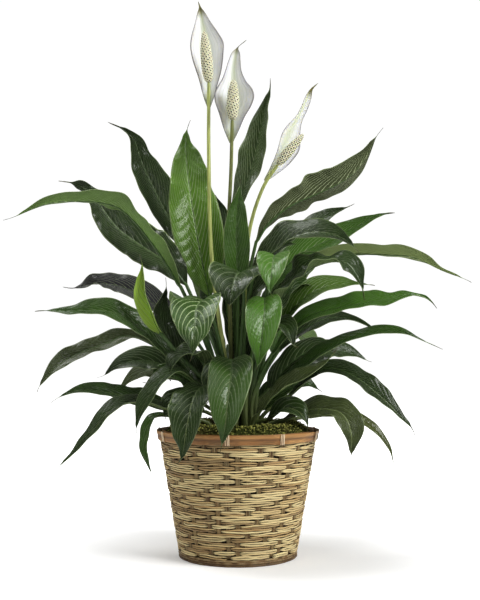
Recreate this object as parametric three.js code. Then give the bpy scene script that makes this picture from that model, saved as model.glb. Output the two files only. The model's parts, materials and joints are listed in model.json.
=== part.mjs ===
// Potted peace lily in a woven basket, standing on a floor.
// Millimetres, +Z up. The origin is the centre of the basket's foot, on the floor.
import * as THREE from 'three';
import { mergeVertices } from 'three/addons/utils/BufferGeometryUtils.js';

// ---------------------------------------------------------------- driving dimensions
const basketHeight = 172;      // floor to the top of the rim
const rimRadius = 113;         // outside of the outer rim band
const footRadius = 81;         // outside of the foot hoop
const wallThickness = 5;       // woven wall, stakes and weavers together
const footHeight = 9;          // hoop that the basket stands on
const baseThickness = 5;       // woven floor of the basket, level with the foot
const bandHeight = 13;         // split-cane rim bands
const bandThickness = 2.2;
const linerThickness = 1;      // plastic liner inside the wall
const potWall = 1.8;           // nursery pot
const potDrop = 14;            // pot's rim below the basket's rim
const potLip = 3;              // rolled lip round the pot's rim
const potGap = 1.5;            // between the lip and the liner
const potFootGap = 13;         // between the pot's foot and the liner
const drainRadius = 6;
const soilDrop = 5;            // potting mix below the pot's rim
const mossThickness = 16;
const crownRadius = 57;        // clump of root stocks that the stems rise from
const crownHeight = 14;
const petioleRadius = 2.4;
const leafThickness = 1.4;
const stalkRadius = 2.3;       // flower stalk
const hoodJoint = 0.93; // share of a stalk's length at which its hood springs
const stemSpacing = 9;         // least distance between stems where they leave the crown
const spreadRounds = 80;
const spatheThickness = 1.2;
const foliageScale = 1;        // all leaves and flowers, about the crown
const clearance = 0.3;         // between pieces that touch

// ---------------------------------------------------------------- worked-out heights and radii
const roundSides = 40;
const baseTop = baseThickness;
const wallTop = basketHeight - 4;
const wallLean = (rimRadius - bandThickness - footRadius) / basketHeight;
const wallOuter = (z) => footRadius - clearance + wallLean * z;
const wallInner = (z) => wallOuter(z) - wallThickness;
const linerBottom = baseTop + clearance;
const linerTop = basketHeight - 14;
const linerOuter = (z) => wallInner(z) - clearance;
const linerInner = (z) => linerOuter(z) - linerThickness;
const potBottom = linerBottom + linerThickness + clearance;
const potTop = basketHeight - potDrop;
const potRimRadius = linerInner(potTop) - potGap - potLip;
const potFootRadius = linerInner(potBottom) - potFootGap;
const potLean = (potRimRadius - potFootRadius) / (potTop - potBottom);
const potOuter = (z) => potRimRadius + potLean * (z - potTop);
const potInner = (z) => potOuter(z) - potWall;
const soilBottom = potBottom + potWall + clearance;
const soilTop = potTop - soilDrop;
const crownBottom = soilTop + clearance;
const crownTop = crownBottom + crownHeight;

// ---------------------------------------------------------------- materials
const finish = (color, roughness) => new THREE.MeshStandardMaterial({ color, roughness, metalness: 0 });
const wickerFinish = finish(0xc9a468, 0.6);
const rimFinish = finish(0xb87838, 0.45);
const linerFinish = finish(0x2c2a26, 0.4);
const potFinish = finish(0x20211f, 0.5);
const soilFinish = finish(0x33261b, 1);
const mossFinish = finish(0x8a8a3c, 1);
const crownFinish = finish(0x6d6a36, 0.8);
const darkLeafFinish = finish(0x24401a, 0.35);
const midLeafFinish = finish(0x3b6a2b, 0.35);
const oliveLeafFinish = finish(0x666e3e, 0.5);
const youngLeafFinish = finish(0x9ab43a, 0.4);
const stalkFinish = finish(0x8aa05a, 0.5);
const spatheFinish = finish(0xf2f2e4, 0.5);
const spadixFinish = finish(0xe6dfa8, 0.7);

// ---------------------------------------------------------------- general makers
const plant = new THREE.Group();

function addPiece(name, geometry, material) {
  const piece = new THREE.Mesh(geometry, material);
  piece.name = name;
  plant.add(piece);
  return piece;
}

// A solid of revolution about the vertical axis, from [radius, height] pairs.
function turned(outline) {
  const points = outline.map(([radius, height]) => new THREE.Vector2(radius, height));
  return new THREE.LatheGeometry(points, roundSides).rotateX(Math.PI / 2);
}

// A ring whose outline closes on itself.
function turnedRing(outline) {
  return turned([...outline, outline[0]]);
}

// A closed skin over rings of equal point counts, with the last ring drawn to one point.
function skinned(rings, tip) {
  const sides = rings[0].length;
  const positions = [];
  const put = (...points) => points.forEach((p) => positions.push(p.x, p.y, p.z));
  for (let k = 0; k + 1 < rings.length; k += 1) {
    for (let i = 0; i < sides; i += 1) {
      const j = (i + 1) % sides;
      put(rings[k][i], rings[k][j], rings[k + 1][j]);
      put(rings[k][i], rings[k + 1][j], rings[k + 1][i]);
    }
  }
  const last = rings[rings.length - 1];
  for (let i = 0; i < sides; i += 1) put(last[i], last[(i + 1) % sides], tip);
  for (let i = 1; i + 1 < sides; i += 1) put(rings[0][0], rings[0][i + 1], rings[0][i]);
  const geometry = new THREE.BufferGeometry();
  geometry.setAttribute('position', new THREE.Float32BufferAttribute(positions, 3));
  return mergeVertices(geometry, 1e-4);
}

// ---------------------------------------------------------------- basket
function basketWall() {
  return turnedRing([
    [wallOuter(footHeight + clearance), footHeight + clearance],
    [wallOuter(wallTop), wallTop],
    [wallInner(wallTop), wallTop],
    [wallInner(footHeight + clearance), footHeight + clearance],
  ]);
}

function footHoop() {
  return turnedRing([
    [footRadius - wallThickness, 0],
    [footRadius - 1, 0],
    [footRadius + 1, footHeight / 2],
    [wallOuter(footHeight), footHeight],
    [wallInner(footHeight), footHeight],
  ]);
}

function basketBase() {
  const radius = footRadius - wallThickness - 1.5;
  return turned([[0, 0], [radius, 0], [radius, baseTop], [0, baseTop]]);
}

function rimBand(outerRadius) {
  const bottom = basketHeight - bandHeight;
  const innerRadius = outerRadius - bandThickness;
  const drop = wallLean * bandHeight;
  return turnedRing([
    [outerRadius - drop, bottom],
    [outerRadius, basketHeight - 1],
    [outerRadius - bandThickness / 2, basketHeight],
    [innerRadius, basketHeight - 1],
    [innerRadius - drop, bottom],
  ]);
}

addPiece('foot_hoop', footHoop(), rimFinish);
addPiece('basket_base', basketBase(), wickerFinish);
addPiece('basket_wall', basketWall(), wickerFinish);
addPiece('rim_band_outer', rimBand(wallOuter(basketHeight) + clearance + bandThickness), rimFinish);
addPiece('rim_band_inner', rimBand(wallInner(basketHeight) - clearance), rimFinish);

// ---------------------------------------------------------------- liner, nursery pot and what fills it
function liner() {
  const floor = linerBottom + linerThickness;
  return turned([
    [0, linerBottom],
    [linerOuter(linerBottom) - 2, linerBottom],
    [linerOuter(linerTop), linerTop],
    [linerInner(linerTop), linerTop],
    [linerInner(floor) - 2, floor],
    [0, floor],
  ]);
}

// The nursery pot: a tapered tub with a rolled lip and one drain hole in its floor.
function nurseryPot() {
  const floor = potBottom + potWall;
  const lipBottom = potTop - 2.5 * potLip;
  return turnedRing([
    [drainRadius, potBottom],
    [potOuter(potBottom), potBottom],
    [potOuter(lipBottom), lipBottom],
    [potOuter(lipBottom) + potLip, lipBottom],
    [potOuter(potTop) + potLip, potTop],
    [potInner(potTop), potTop],
    [potInner(floor), floor],
    [drainRadius, floor],
  ]);
}

function pottingMix() {
  const side = (z) => potInner(z) - clearance;
  return turned([[0, soilBottom], [side(soilBottom), soilBottom], [side(soilTop), soilTop], [0, soilTop]]);
}

function rootCrown() {
  return turned([
    [0, crownBottom],
    [crownRadius + 2, crownBottom],
    [crownRadius + 2, crownBottom + crownHeight * 0.6],
    [crownRadius, crownTop],
    [0, crownTop],
  ]);
}

// Moss packed round the crown, over the pot's lip and out to the rim band.
function mossTopping() {
  const overLip = potTop + clearance;
  const lipReach = wallInner(basketHeight - bandHeight) - bandThickness - 2 * clearance;
  const hole = crownRadius + 2 + clearance;
  const crest = basketHeight + 1;
  const inPot = (z) => potInner(z) - 2 * clearance;
  const low = soilTop + clearance;
  return turnedRing([
    [hole, low],
    [inPot(low), low],
    [inPot(overLip), overLip],
    [lipReach, overLip],
    [lipReach, basketHeight - 5],
    [lipReach - 12, crest],
    [crownRadius + 18, crest],
    [hole + 1, low + mossThickness],
  ]);
}

addPiece('plastic_liner', liner(), linerFinish);
addPiece('nursery_pot', nurseryPot(), potFinish);
addPiece('potting_mix', pottingMix(), soilFinish);
addPiece('moss_topping', mossTopping(), mossFinish);
addPiece('root_crown', rootCrown(), crownFinish);

// ---------------------------------------------------------------- leaves and flowers: shared shaping
const up = new THREE.Vector3(0, 0, 1);
const degrees = Math.PI / 180;

// A point hanging outside the rim: `out` from the rim's edge and `rise` above its top.
const overRim = (azimuth, out, rise) => {
  const reach = rimRadius + out;
  return new THREE.Vector3(reach * Math.cos(azimuth * degrees), reach * Math.sin(azimuth * degrees),
    basketHeight + rise);
};

// A point given from the middle of the crown's top, in millimetres, or one that is already placed.
const placed = (point) => (point.isVector3 ? point
  : new THREE.Vector3(...point).multiplyScalar(foliageScale).add(new THREE.Vector3(0, 0, crownTop)));

// Where a stem leaves the crown: the more it leans out, the nearer the edge it starts.
function stemFoot(neck) {
  const reach = Math.hypot(neck.x, neck.y);
  const lean = Math.atan2(reach, neck.z - crownTop) / (Math.PI / 2);
  const radius = stemSpacing + (crownRadius - 2 * stemSpacing) * Math.min(1, lean);
  const azimuth = Math.atan2(neck.y, neck.x);
  return new THREE.Vector3(radius * Math.cos(azimuth), radius * Math.sin(azimuth), crownTop + clearance);
}

// Feet that would share one spot on the crown are pushed apart until each has its own room.
function spreadFeet(feet) {
  for (let round = 0; round < spreadRounds; round += 1) {
    feet.forEach((foot, i) => feet.slice(i + 1).forEach((other) => {
      const apart = other.clone().sub(foot);
      const missing = stemSpacing - apart.length();
      if (missing <= 0) return;
      apart.setLength(missing / 2);
      other.add(apart);
      foot.sub(apart);
    }));
    feet.forEach((foot) => {
      const reach = Math.hypot(foot.x, foot.y);
      const most = crownRadius - stemSpacing / 2;
      if (reach > most) foot.set(foot.x * most / reach, foot.y * most / reach, foot.z);
    });
  }
}

// A stem that starts straight up from the crown and bends out to the neck.
function stemPath(foot, neck) {
  const rise = Math.max(neck.z - foot.z, 8);
  const start = foot.clone().addScaledVector(up, Math.min(0.4 * rise, 45));
  return [foot, foot.clone().lerp(start, 0.35), start];
}

// Side and face directions of a blade that runs along `along`, rolled about it.
function bladeFrame(along, side, roll) {
  const across = side.clone().addScaledVector(along, -side.dot(along)).normalize();
  across.applyAxisAngle(along, roll * degrees);
  return { across, face: across.clone().cross(along).normalize() };
}

// One section of a thin blade: knife edges, `cup` deep, with the given number of strips.
function bladeSection(centre, { across, face }, halfWidth, cup, thickness, strips) {
  const ring = [];
  const at = (s, lift) => centre.clone().addScaledVector(across, s * halfWidth)
    .addScaledVector(face, cup * s * s + lift);
  for (let i = 0; i <= strips; i += 1) {
    const s = (2 * i) / strips - 1;
    ring.push(at(s, thickness / 2 * (1 - s * s)));
  }
  for (let i = strips - 1; i > 0; i -= 1) {
    const s = (2 * i) / strips - 1;
    ring.push(at(s, -thickness / 2 * (1 - s * s)));
  }
  return ring;
}

// Outline of a leaf: rounded shoulders, widest before the middle, drawn out to a fine tip.
// A larger `set` moves the widest part towards the tip.
const leafOutline = (u, set = 0.78) => Math.sin(Math.PI * u ** set) ** 0.8 * (1 - 0.35 * u ** 3);

// ---------------------------------------------------------------- leaves
const stemRings = 6;
const bladeRings = 10;

// Everything that grows from the crown, listed first, so that the feet can share the room.
const stems = [];

// One leaf with its stem. `through` runs from the neck, where the blade starts, to the tip.
function leaf(name, material, width, roll, through, more = {}) {
  const points = through.map(placed);
  const foot = stemFoot(points[0]);
  stems.push({ foot, grow: () => growLeaf(name, material, width, roll, points, foot, more) });
}

function growLeaf(name, material, width, roll, points, foot, more) {
  const neck = points[0];
  const tip = points[points.length - 1];
  const path = new THREE.CatmullRomCurve3([...stemPath(foot, neck), ...points], false, 'centripetal');
  const run = tip.clone().sub(neck).setZ(0);
  const azimuth = more.azimuth === undefined ? Math.atan2(run.y, run.x) : more.azimuth * degrees;
  const side = new THREE.Vector3(-Math.sin(azimuth), Math.cos(azimuth), 0).negate();
  const lengths = path.getLengths(200);
  const total = lengths[200];
  const neckAt = 3 / (points.length + 2);
  const neckShare = lengths[Math.round(200 * neckAt)] / total;
  const rings = [];
  for (let k = 0; k <= stemRings; k += 1) {
    const share = neckShare * (k / stemRings) ** 1.2;
    const centre = path.getPointAt(share);
    const along = k === 0 ? up : path.getTangentAt(share);
    const frame = bladeFrame(along, side, roll * (k / stemRings));
    const swell = petioleRadius * (1 + 0.35 * (1 - k / stemRings));
    rings.push(bladeSection(centre, frame, swell, 0, 2 * swell, 2));
  }
  for (let k = 1; k <= bladeRings; k += 1) {
    const u = k / (bladeRings + 1);
    const share = neckShare + (1 - neckShare) * u;
    const frame = bladeFrame(path.getTangentAt(share), side, roll);
    const half = Math.max(width / 2 * foliageScale * leafOutline(u, more.set), 0.8);
    const cup = (more.cup ?? 0.22) * half;
    const thick = leafThickness + petioleRadius * Math.max(0, 1 - 3 * u);
    rings.push(bladeSection(path.getPointAt(share), frame, half, cup, thick, 2));
  }
  addPiece(name, skinned(rings, tip), material);
}

// Left side, from the top of the plant down.
leaf('leaf_left_upright', darkLeafFinish, 58, -58,
  [[-78, 60, 262], [-116, 70, 335], [-144, 75, 395], [-160, 70, 436], [-188, 60, 450]]);
leaf('leaf_left_long', midLeafFinish, 44, 18,
  [[-78, -38, 200], [-124, -58, 270], [-160, -70, 305], [-204, -70, 313], [-260, -60, 311],
    [-316, -50, 287]]);
leaf('leaf_left_broad', darkLeafFinish, 66, -62,
  [[-72, -8, 205], [-100, -12, 236], [-138, 0, 262], [-172, 0, 288], [-197, 0, 322], [-216, 0, 343],
    [-248, -5, 353]]);
leaf('leaf_left_dusky', darkLeafFinish, 52, -42,
  [[-66, 62, 135], [-128, 78, 186], [-174, 85, 210], [-213, 80, 214], [-253, 60, 202]], { set: 1.05 });
leaf('leaf_left_middle', midLeafFinish, 42, -42,
  [[-70, -20, 82], [-133, -40, 145], [-172, -50, 166], [-220, -50, 167], [-273, -40, 168]], { set: 1 });
leaf('leaf_left_young', youngLeafFinish, 22, -60,
  [[-104, -50, 136], [-118, -53, 166], [-127, -57, 198], [-129, -55, 236]], { cup: 0.7, azimuth: 120 });
leaf('leaf_left_drooping', midLeafFinish, 34, -42,
  [[-112, 32, 118], [-158, 33, 136], [-189, 20, 124], [-224, 0, 110], [-250, -20, 92], [-277, -40, 55]],
  { set: 1.1 });
leaf('leaf_left_short', darkLeafFinish, 48, -45,
  [[-56, 6, 62], [-118, 5, 98], [-154, 0, 98], [-174, 0, 90], [-192, 0, 72]]);
leaf('leaf_left_behind', oliveLeafFinish, 40, -45,
  [[-72, 46, 70], [-130, 60, 86], [-158, 65, 71], [-180, 65, 44]]);
leaf('leaf_left_low', midLeafFinish, 36, -38,
  [[-78, 2, 26], [-119, -5, 40], [-152, -10, 50], [-182, -20, 57], [-215, -30, 60], [-252, -40, 47]]);
leaf('leaf_left_lowest', darkLeafFinish, 30, -20,
  [[-72, -28, 26], [-133, -60, 46], overRim(206, 70, 32), overRim(205, 98, 1), overRim(204, 123, -28),
    overRim(203, 147, -46)]);
leaf('leaf_left_near', darkLeafFinish, 32, -20,
  [[-58, -44, 72], [-86, -66, 86], [-110, -85, 62], [-127, -90, 32], [-134, -90, 4]]);
leaf('leaf_over_rim_left', midLeafFinish, 25, 0,
  [[-90, 26, 22], overRim(172, 9, 15), overRim(176, 16, -20), overRim(178, 12, -48), overRim(178, 5, -68)]);

// Upright leaves in the middle.
leaf('leaf_upright_bright', midLeafFinish, 76, 12,
  [[-40, 12, 190], [-54, 16, 255], [-67, 20, 330], [-75, 30, 396], [-75, 40, 452]], { azimuth: 90 });
leaf('leaf_upright_behind_stalks', darkLeafFinish, 38, 0,
  [[-20, 46, 230], [-24, 60, 276], [-28, 70, 318], [-40, 75, 356]], { azimuth: 90 });
leaf('leaf_upright_veined', darkLeafFinish, 46, -6,
  [[-4, 25, 296], [6, 30, 340], [21, 35, 384], [31, 40, 430], [38, 40, 468], [52, 30, 504]],
  { azimuth: 60, set: 1 });
leaf('leaf_upright_short', midLeafFinish, 38, 5,
  [[0, -6, 200], [-2, -12, 250], [-2, -14, 300], [4, -10, 352]], { azimuth: 90 });

// Leaves that arch towards the front.
leaf('leaf_front_upper_left', midLeafFinish, 66, 0,
  [[-41, -66, 178], [-53, -113, 167], [-54, -137, 142], [-55, -146, 121], [-56, -146, 101]]);
leaf('leaf_front_top', darkLeafFinish, 72, 0,
  [[8, -42, 214], [-1, -72, 214], [-7, -93, 195], [-11, -105, 166]]);
leaf('leaf_front_bright', midLeafFinish, 48, 0,
  [[34, -72, 182], [34, -112, 164], [30, -130, 128], [24, -134, 86]]);
leaf('leaf_front_lower', darkLeafFinish, 58, 0,
  [[-9, -66, 100], [-8, -116, 86], overRim(265, 31, 46), overRim(264, 38, 13), overRim(262, 38, -16)]);
leaf('leaf_front_lower_left', darkLeafFinish, 54, 0,
  [[-42, -58, 66], [-56, -98, 54], overRim(242, 23, 16), overRim(242, 32, -14), overRim(241, 34, -36)]);
leaf('leaf_front_right_upper', midLeafFinish, 44, 0,
  [[48, -80, 236], [45, -118, 227], [42, -138, 207], [39, -145, 180]]);

// Right side, from the top of the plant down.
leaf('leaf_right_top', oliveLeafFinish, 60, -40,
  [[26, 26, 270], [66, 35, 318], [116, 45, 344], [156, 45, 364], [182, 40, 390], [206, 30, 438]],
  { set: 1.15 });
leaf('leaf_right_back_upper', darkLeafFinish, 42, 40,
  [[62, 80, 245], [117, 100, 308], [148, 105, 326], [173, 105, 334]]);
leaf('leaf_right_arching', darkLeafFinish, 60, 42,
  [[20, -16, 210], [57, -42, 256], [100, -60, 272], [136, -70, 265], [162, -75, 244]]);
leaf('leaf_right_veined', midLeafFinish, 46, 52,
  [[42, 16, 195], [89, 30, 252], [138, 35, 277], [185, 30, 300], [224, 25, 316]]);
leaf('leaf_right_folded', darkLeafFinish, 60, 28,
  [[40, -42, 150], [72, -72, 204], [101, -88, 224], [140, -95, 228], [160, -95, 201], [163, -95, 176]]);
leaf('leaf_right_far', oliveLeafFinish, 40, -20,
  [[80, 8, 222], [130, 10, 247], [169, 5, 251], [207, 0, 249], [243, -10, 245], [290, -18, 222],
    [327, -20, 209]]);
leaf('leaf_right_yellow_green', youngLeafFinish, 46, 40,
  [[46, -9, 132], [94, -21, 188], [124, -25, 203], [157, -25, 205], [190, -25, 204]]);
leaf('leaf_right_thick', midLeafFinish, 36, 42,
  [[46, -38, 108], [91, -65, 157], [134, -80, 170], [173, -85, 177], [205, -85, 182], [234, -80, 187],
    [267, -75, 172]], { set: 0.95 });
leaf('leaf_right_thin', darkLeafFinish, 28, 45,
  [[56, 8, 112], [102, 20, 150], [139, 30, 162], [172, 30, 156], [202, 25, 140]]);
leaf('leaf_right_long', midLeafFinish, 30, 32,
  [[46, -22, 52], [94, -45, 98], [129, -60, 120], [168, -70, 134], [210, -75, 139], [266, -75, 116]]);
leaf('leaf_right_back_lower', darkLeafFinish, 44, 45,
  [[70, 26, 76], [120, 44, 110], [162, 60, 112], [196, 65, 96]]);
leaf('leaf_right_drooping', darkLeafFinish, 36, 38,
  [[70, 6, 50], [122, -5, 89], [158, -15, 80], [194, -25, 52], [222, -30, 24], [246, -30, 0]],
  { set: 1.1 });
leaf('leaf_right_front', oliveLeafFinish, 38, 35,
  [[24, -40, 26], [51, -60, 57], [79, -75, 75], [105, -80, 91], [128, -80, 110]]);
leaf('leaf_right_hanging', oliveLeafFinish, 48, 36,
  [[60, -14, 18], [104, -30, 34], overRim(342, 34, 24), overRim(340, 48, -2), overRim(338, 47, -38)],
  { set: 1.1 });
leaf('leaf_right_lowest', midLeafFinish, 22, 38,
  [[100, 28, 20], overRim(15, 38, 18), overRim(13, 67, 10), overRim(10, 88, -8), overRim(8, 105, -32),
    overRim(8, 113, -62)]);

// Leaves on the far side of the plant.
leaf('leaf_back_left', midLeafFinish, 56, 0,
  [[-48, 88, 150], [-75, 135, 190], [-92, 175, 192], [-104, 212, 160]]);
leaf('leaf_back_middle', darkLeafFinish, 60, 0,
  [[8, 92, 170], [12, 140, 215], [16, 185, 214], [18, 228, 172]]);
leaf('leaf_back_right', midLeafFinish, 52, 0,
  [[52, 96, 110], [84, 140, 140], [108, 178, 134], [126, 212, 96]]);

// ---------------------------------------------------------------- flowers
const stalkSides = 8;
const stalkRings = 14;
const spadixSides = 14;
const spatheRings = 12;
const spatheStrips = 4;

// A round stem along a path, pointed at its upper end.
function roundStem(path, foot, radius) {
  const rings = [];
  for (let k = 0; k < stalkRings; k += 1) {
    const share = k / (stalkRings - 1) * 0.995;
    const along = k === 0 ? up : path.getTangentAt(share);
    const { across, face } = bladeFrame(along, new THREE.Vector3(1, 0, 0), 0);
    const centre = path.getPointAt(share);
    const thick = radius * (1 + foot * (1 - share));
    const ring = [];
    for (let i = 0; i < stalkSides; i += 1) {
      const turn = (-2 * Math.PI * i) / stalkSides;
      ring.push(centre.clone().addScaledVector(across, thick * Math.cos(turn))
        .addScaledVector(face, thick * Math.sin(turn)));
    }
    rings.push(ring);
  }
  return skinned(rings, path.getPointAt(1));
}

// The fleshy flower spike: a blunt club from `from` to `to`.
function spadix(from, to, radius) {
  const axis = to.clone().sub(from);
  const length = axis.length();
  const outline = [[0, 0], [0.62, 0.02], [0.94, 0.14], [1, 0.4], [0.94, 0.72], [0.6, 0.94], [0, 1]]
    .map(([r, h]) => new THREE.Vector2(r * radius, h * length));
  const geometry = new THREE.LatheGeometry(outline, spadixSides).rotateX(Math.PI / 2);
  geometry.applyQuaternion(new THREE.Quaternion().setFromUnitVectors(up, axis.normalize()));
  return geometry.translate(from.x, from.y, from.z);
}

// The white hood behind the spike, joined to the stalk just below it.
function spathe(joint, through, facing, width) {
  const path = new THREE.CatmullRomCurve3([joint, ...through], false, 'centripetal');
  const side = new THREE.Vector3(-Math.sin(facing), Math.cos(facing), 0);
  const tip = path.getPointAt(1);
  const rings = [];
  for (let k = 0; k <= spatheRings; k += 1) {
    const u = k / (spatheRings + 1);
    const frame = bladeFrame(path.getTangentAt(u), side, 0);
    const outline = Math.sin(Math.PI * Math.min(1, 0.04 + 0.96 * u) ** 0.8) ** 0.75;
    const half = Math.max(width / 2 * foliageScale * outline * (1 - 0.3 * u ** 2), 1);
    const cup = (k === 0 ? 0 : 0.45) * half;
    rings.push(bladeSection(path.getPointAt(u), frame, half, cup, spatheThickness, spatheStrips));
  }
  return skinned(rings, tip);
}

function flower(name, form) {
  const points = form.stalk.map(placed);
  const foot = stemFoot(points[0]);
  stems.push({ foot, grow: () => growFlower(name, form, points, foot) });
}

function growFlower(name, { spike, spikeRadius, hood, hoodWidth, facing }, points, foot) {
  const path = new THREE.CatmullRomCurve3([...stemPath(foot, points[0]), ...points], false, 'centripetal');
  const top = path.getPointAt(1);
  const spikeTip = placed(spike);
  const axis = spikeTip.clone().sub(top).normalize();
  const azimuth = facing * degrees;
  const front = new THREE.Vector3(Math.cos(azimuth), Math.sin(azimuth), 0);
  const joint = path.getPointAt(hoodJoint).addScaledVector(front, -(stalkRadius + clearance + spatheThickness));
  addPiece(`${name}_stalk`, roundStem(path, 0.5, stalkRadius), stalkFinish);
  const base = top.addScaledVector(axis, clearance);
  addPiece(`${name}_spadix`, spadix(base, spikeTip, spikeRadius), spadixFinish);
  addPiece(`${name}_spathe`, spathe(joint, hood.map(placed), azimuth, hoodWidth), spatheFinish);
}

flower('flower_tall', {
  stalk: [[-36, -14, 235], [-41, -15, 393], [-41, -14, 490]],
  spike: [-48, -20, 562],
  spikeRadius: 8.5,
  hood: [[-42, 6, 505], [-47, 14, 545], [-52, 18, 585], [-58, 18, 620]],
  hoodWidth: 52,
  facing: -90,
});
flower('flower_middle', {
  stalk: [[-14, 4, 270], [-10, -14, 360], [-8, -25, 434]],
  spike: [-6, -30, 490],
  spikeRadius: 9,
  hood: [[-5, -12, 445], [-1, -6, 480], [3, -2, 520], [9, -2, 556]],
  hoodWidth: 58,
  facing: -90,
});
flower('flower_right', {
  stalk: [[14, 10, 270], [30, 8, 332], [44, 2, 360], [56, -2, 376]],
  spike: [92, -10, 418],
  spikeRadius: 7,
  hood: [[56, 14, 385], [74, 18, 428], [94, 16, 464], [111, 10, 497]],
  hoodWidth: 46,
  facing: -42,
});

spreadFeet(stems.map((stem) => stem.foot));
stems.forEach((stem) => stem.grow());

export default plant;
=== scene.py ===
"""Potted peace lily: the looks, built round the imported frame.

Leaves, hoods and stalks are drawn along the frame's own solids, and the basket is woven strand by
strand in the room of its plain wall. Everything is in metres, in the frame's axes.
"""
import json
import math
import random

import bmesh
import bpy
import numpy as np
from bpy.props import FloatProperty, FloatVectorProperty, IntProperty, PointerProperty
from mathutils import Matrix, Vector, noise


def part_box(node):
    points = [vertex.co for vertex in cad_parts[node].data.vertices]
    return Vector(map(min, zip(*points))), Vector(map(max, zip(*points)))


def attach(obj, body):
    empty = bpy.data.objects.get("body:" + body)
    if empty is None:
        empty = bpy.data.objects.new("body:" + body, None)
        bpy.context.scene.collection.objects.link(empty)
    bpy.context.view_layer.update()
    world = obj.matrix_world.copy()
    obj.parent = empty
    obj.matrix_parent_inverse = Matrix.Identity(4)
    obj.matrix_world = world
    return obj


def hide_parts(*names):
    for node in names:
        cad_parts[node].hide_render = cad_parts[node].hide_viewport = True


bl_info = {
    "name": "Potted Peace Lily",
    "version": (1, 0, 0),
    "blender": (4, 5, 0),
    "location": "View3D > Sidebar > Peace Lily",
    "description": "Builds a flowering peace lily in a woven basket round its packed frame",
    "category": "Object",
}

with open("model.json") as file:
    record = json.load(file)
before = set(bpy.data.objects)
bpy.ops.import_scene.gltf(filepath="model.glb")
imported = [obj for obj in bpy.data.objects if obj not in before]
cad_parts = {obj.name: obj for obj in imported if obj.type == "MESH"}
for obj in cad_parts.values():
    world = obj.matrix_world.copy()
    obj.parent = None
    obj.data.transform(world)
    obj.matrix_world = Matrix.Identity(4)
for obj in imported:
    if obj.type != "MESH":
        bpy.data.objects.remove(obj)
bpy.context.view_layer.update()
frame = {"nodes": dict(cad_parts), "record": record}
NODES = frame["nodes"]
MM = 0.001
BODY = "root"


def slot_of(node):
    """The record's material slot of a node."""
    return next(part["material_slot"] for part in frame["record"]["subparts"] if part["node"] == node)


LEAF_NODES = [name for name in NODES if name.startswith("leaf_")]
FLOWERS = [name[:-len("_spathe")] for name in NODES if name.endswith("_spathe")]
WALL_LOW, WALL_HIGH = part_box("basket_wall")
BAND_LOW, BAND_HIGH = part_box("rim_band_outer")
HOOP_LOW, HOOP_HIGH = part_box("foot_hoop")
MOSS_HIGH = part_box("moss_topping")[1]
CROWN_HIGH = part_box("root_crown")[1]


# ------------------------------------------------------------------ sizes and colours a user would change
def colour(name, description, default):
    return FloatVectorProperty(name=name, description=description, subtype="COLOR", size=3,
                               min=0.0, max=1.0, default=default)


def length(name, description, default):
    return FloatProperty(name=name, description=description, subtype="DISTANCE", unit="LENGTH",
                         min=0.0, default=default)


def count_of(name, description, default, low, high):
    return IntProperty(name=name, description=description, default=default, min=low, max=high)


class LilyFoliage(bpy.types.PropertyGroup):
    blade_thickness: length("Blade thickness", "Thickness of a leaf blade", 0.5 * MM)
    ripple: length("Ripple", "How far a leaf's margin waves up and down", 4.2 * MM)
    fold: FloatProperty(name="Fold", description="How sharply the two halves of a blade fold up",
                        default=1.5, min=0.0, max=3.0)
    quilting: length("Quilting", "Depth of the grooves over the side veins", 1.1 * MM)
    vein_gap: length("Vein spacing", "Between side veins along the midrib", 14.0 * MM)
    dark: colour("Dark leaf", "Old leaves, upper face", (0.017, 0.042, 0.004))
    mid: colour("Green leaf", "Full-grown leaves, upper face", (0.034, 0.088, 0.007))
    olive: colour("Olive leaf", "Leaves with a grey-green cast, upper face", (0.055, 0.075, 0.02))
    young: colour("Young leaf", "Yellow-green leaves, upper face", (0.2, 0.3, 0.04))
    petiole: colour("Leaf stem", "Stems of the leaves", (0.05, 0.1, 0.02))


class LilyFlowers(bpy.types.PropertyGroup):
    hood_thickness: length("Hood thickness", "Thickness of a white spathe", 0.6 * MM)
    hood_ripple: length("Hood ripple", "Wave of a spathe's margin", 1.6 * MM)
    floret: length("Floret", "Spacing of the florets on a spadix", 4.1 * MM)
    white: colour("Spathe white", "Spathe away from its throat", (0.77, 0.78, 0.74))
    throat: colour("Throat green", "Spathe at its base and tip", (0.3, 0.4, 0.12))
    cream: colour("Spadix cream", "Florets", (0.88, 0.84, 0.62))
    stalk: colour("Stalk green", "Flower stalks", (0.36, 0.4, 0.13))


class LilyBasket(bpy.types.PropertyGroup):
    rows: count_of("Rows", "Woven rows between foot and rim", 26, 6, 60)
    stakes: count_of("Stakes", "Upright stakes round the wall", 44, 12, 90)
    strand_thickness: length("Strand thickness", "Thickness of a flat strand", 1.1 * MM)
    straw: colour("Straw", "Light strands", (1.0, 0.84, 0.46))
    straw_dark: colour("Dark straw", "Dark strands", (0.2, 0.105, 0.04))
    cane: colour("Rim cane", "Split cane of the rim and foot", (0.52, 0.29, 0.105))


class LilyMoss(bpy.types.PropertyGroup):
    tufts: count_of("Tufts", "Tufts of moss round the crown", 2600, 100, 6000)
    tuft: length("Tuft size", "Half the width of one tuft", 2.3 * MM)
    green: colour("Moss green", "Fresh moss", (0.1, 0.125, 0.025))
    straw: colour("Dry moss", "Dried moss", (0.24, 0.21, 0.07))


class LilyStage(bpy.types.PropertyGroup):
    lens: FloatProperty(name="Lens", description="Focal length", subtype="DISTANCE_CAMERA", default=55.7)
    distance: length("Distance", "Camera to the basket's axis", 1.3)
    height: length("Camera height", "Camera above the floor", 0.27)
    surround: FloatProperty(name="Surround", description="Light from all sides", default=0.2, min=0.0)
    pitch: FloatProperty(name="Pitch", description="Upward tilt of the camera", subtype="ANGLE",
                         default=math.radians(3.6))


GROUPS = {"lily_foliage": LilyFoliage, "lily_flowers": LilyFlowers, "lily_basket": LilyBasket,
          "lily_moss": LilyMoss, "lily_stage": LilyStage}


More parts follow.
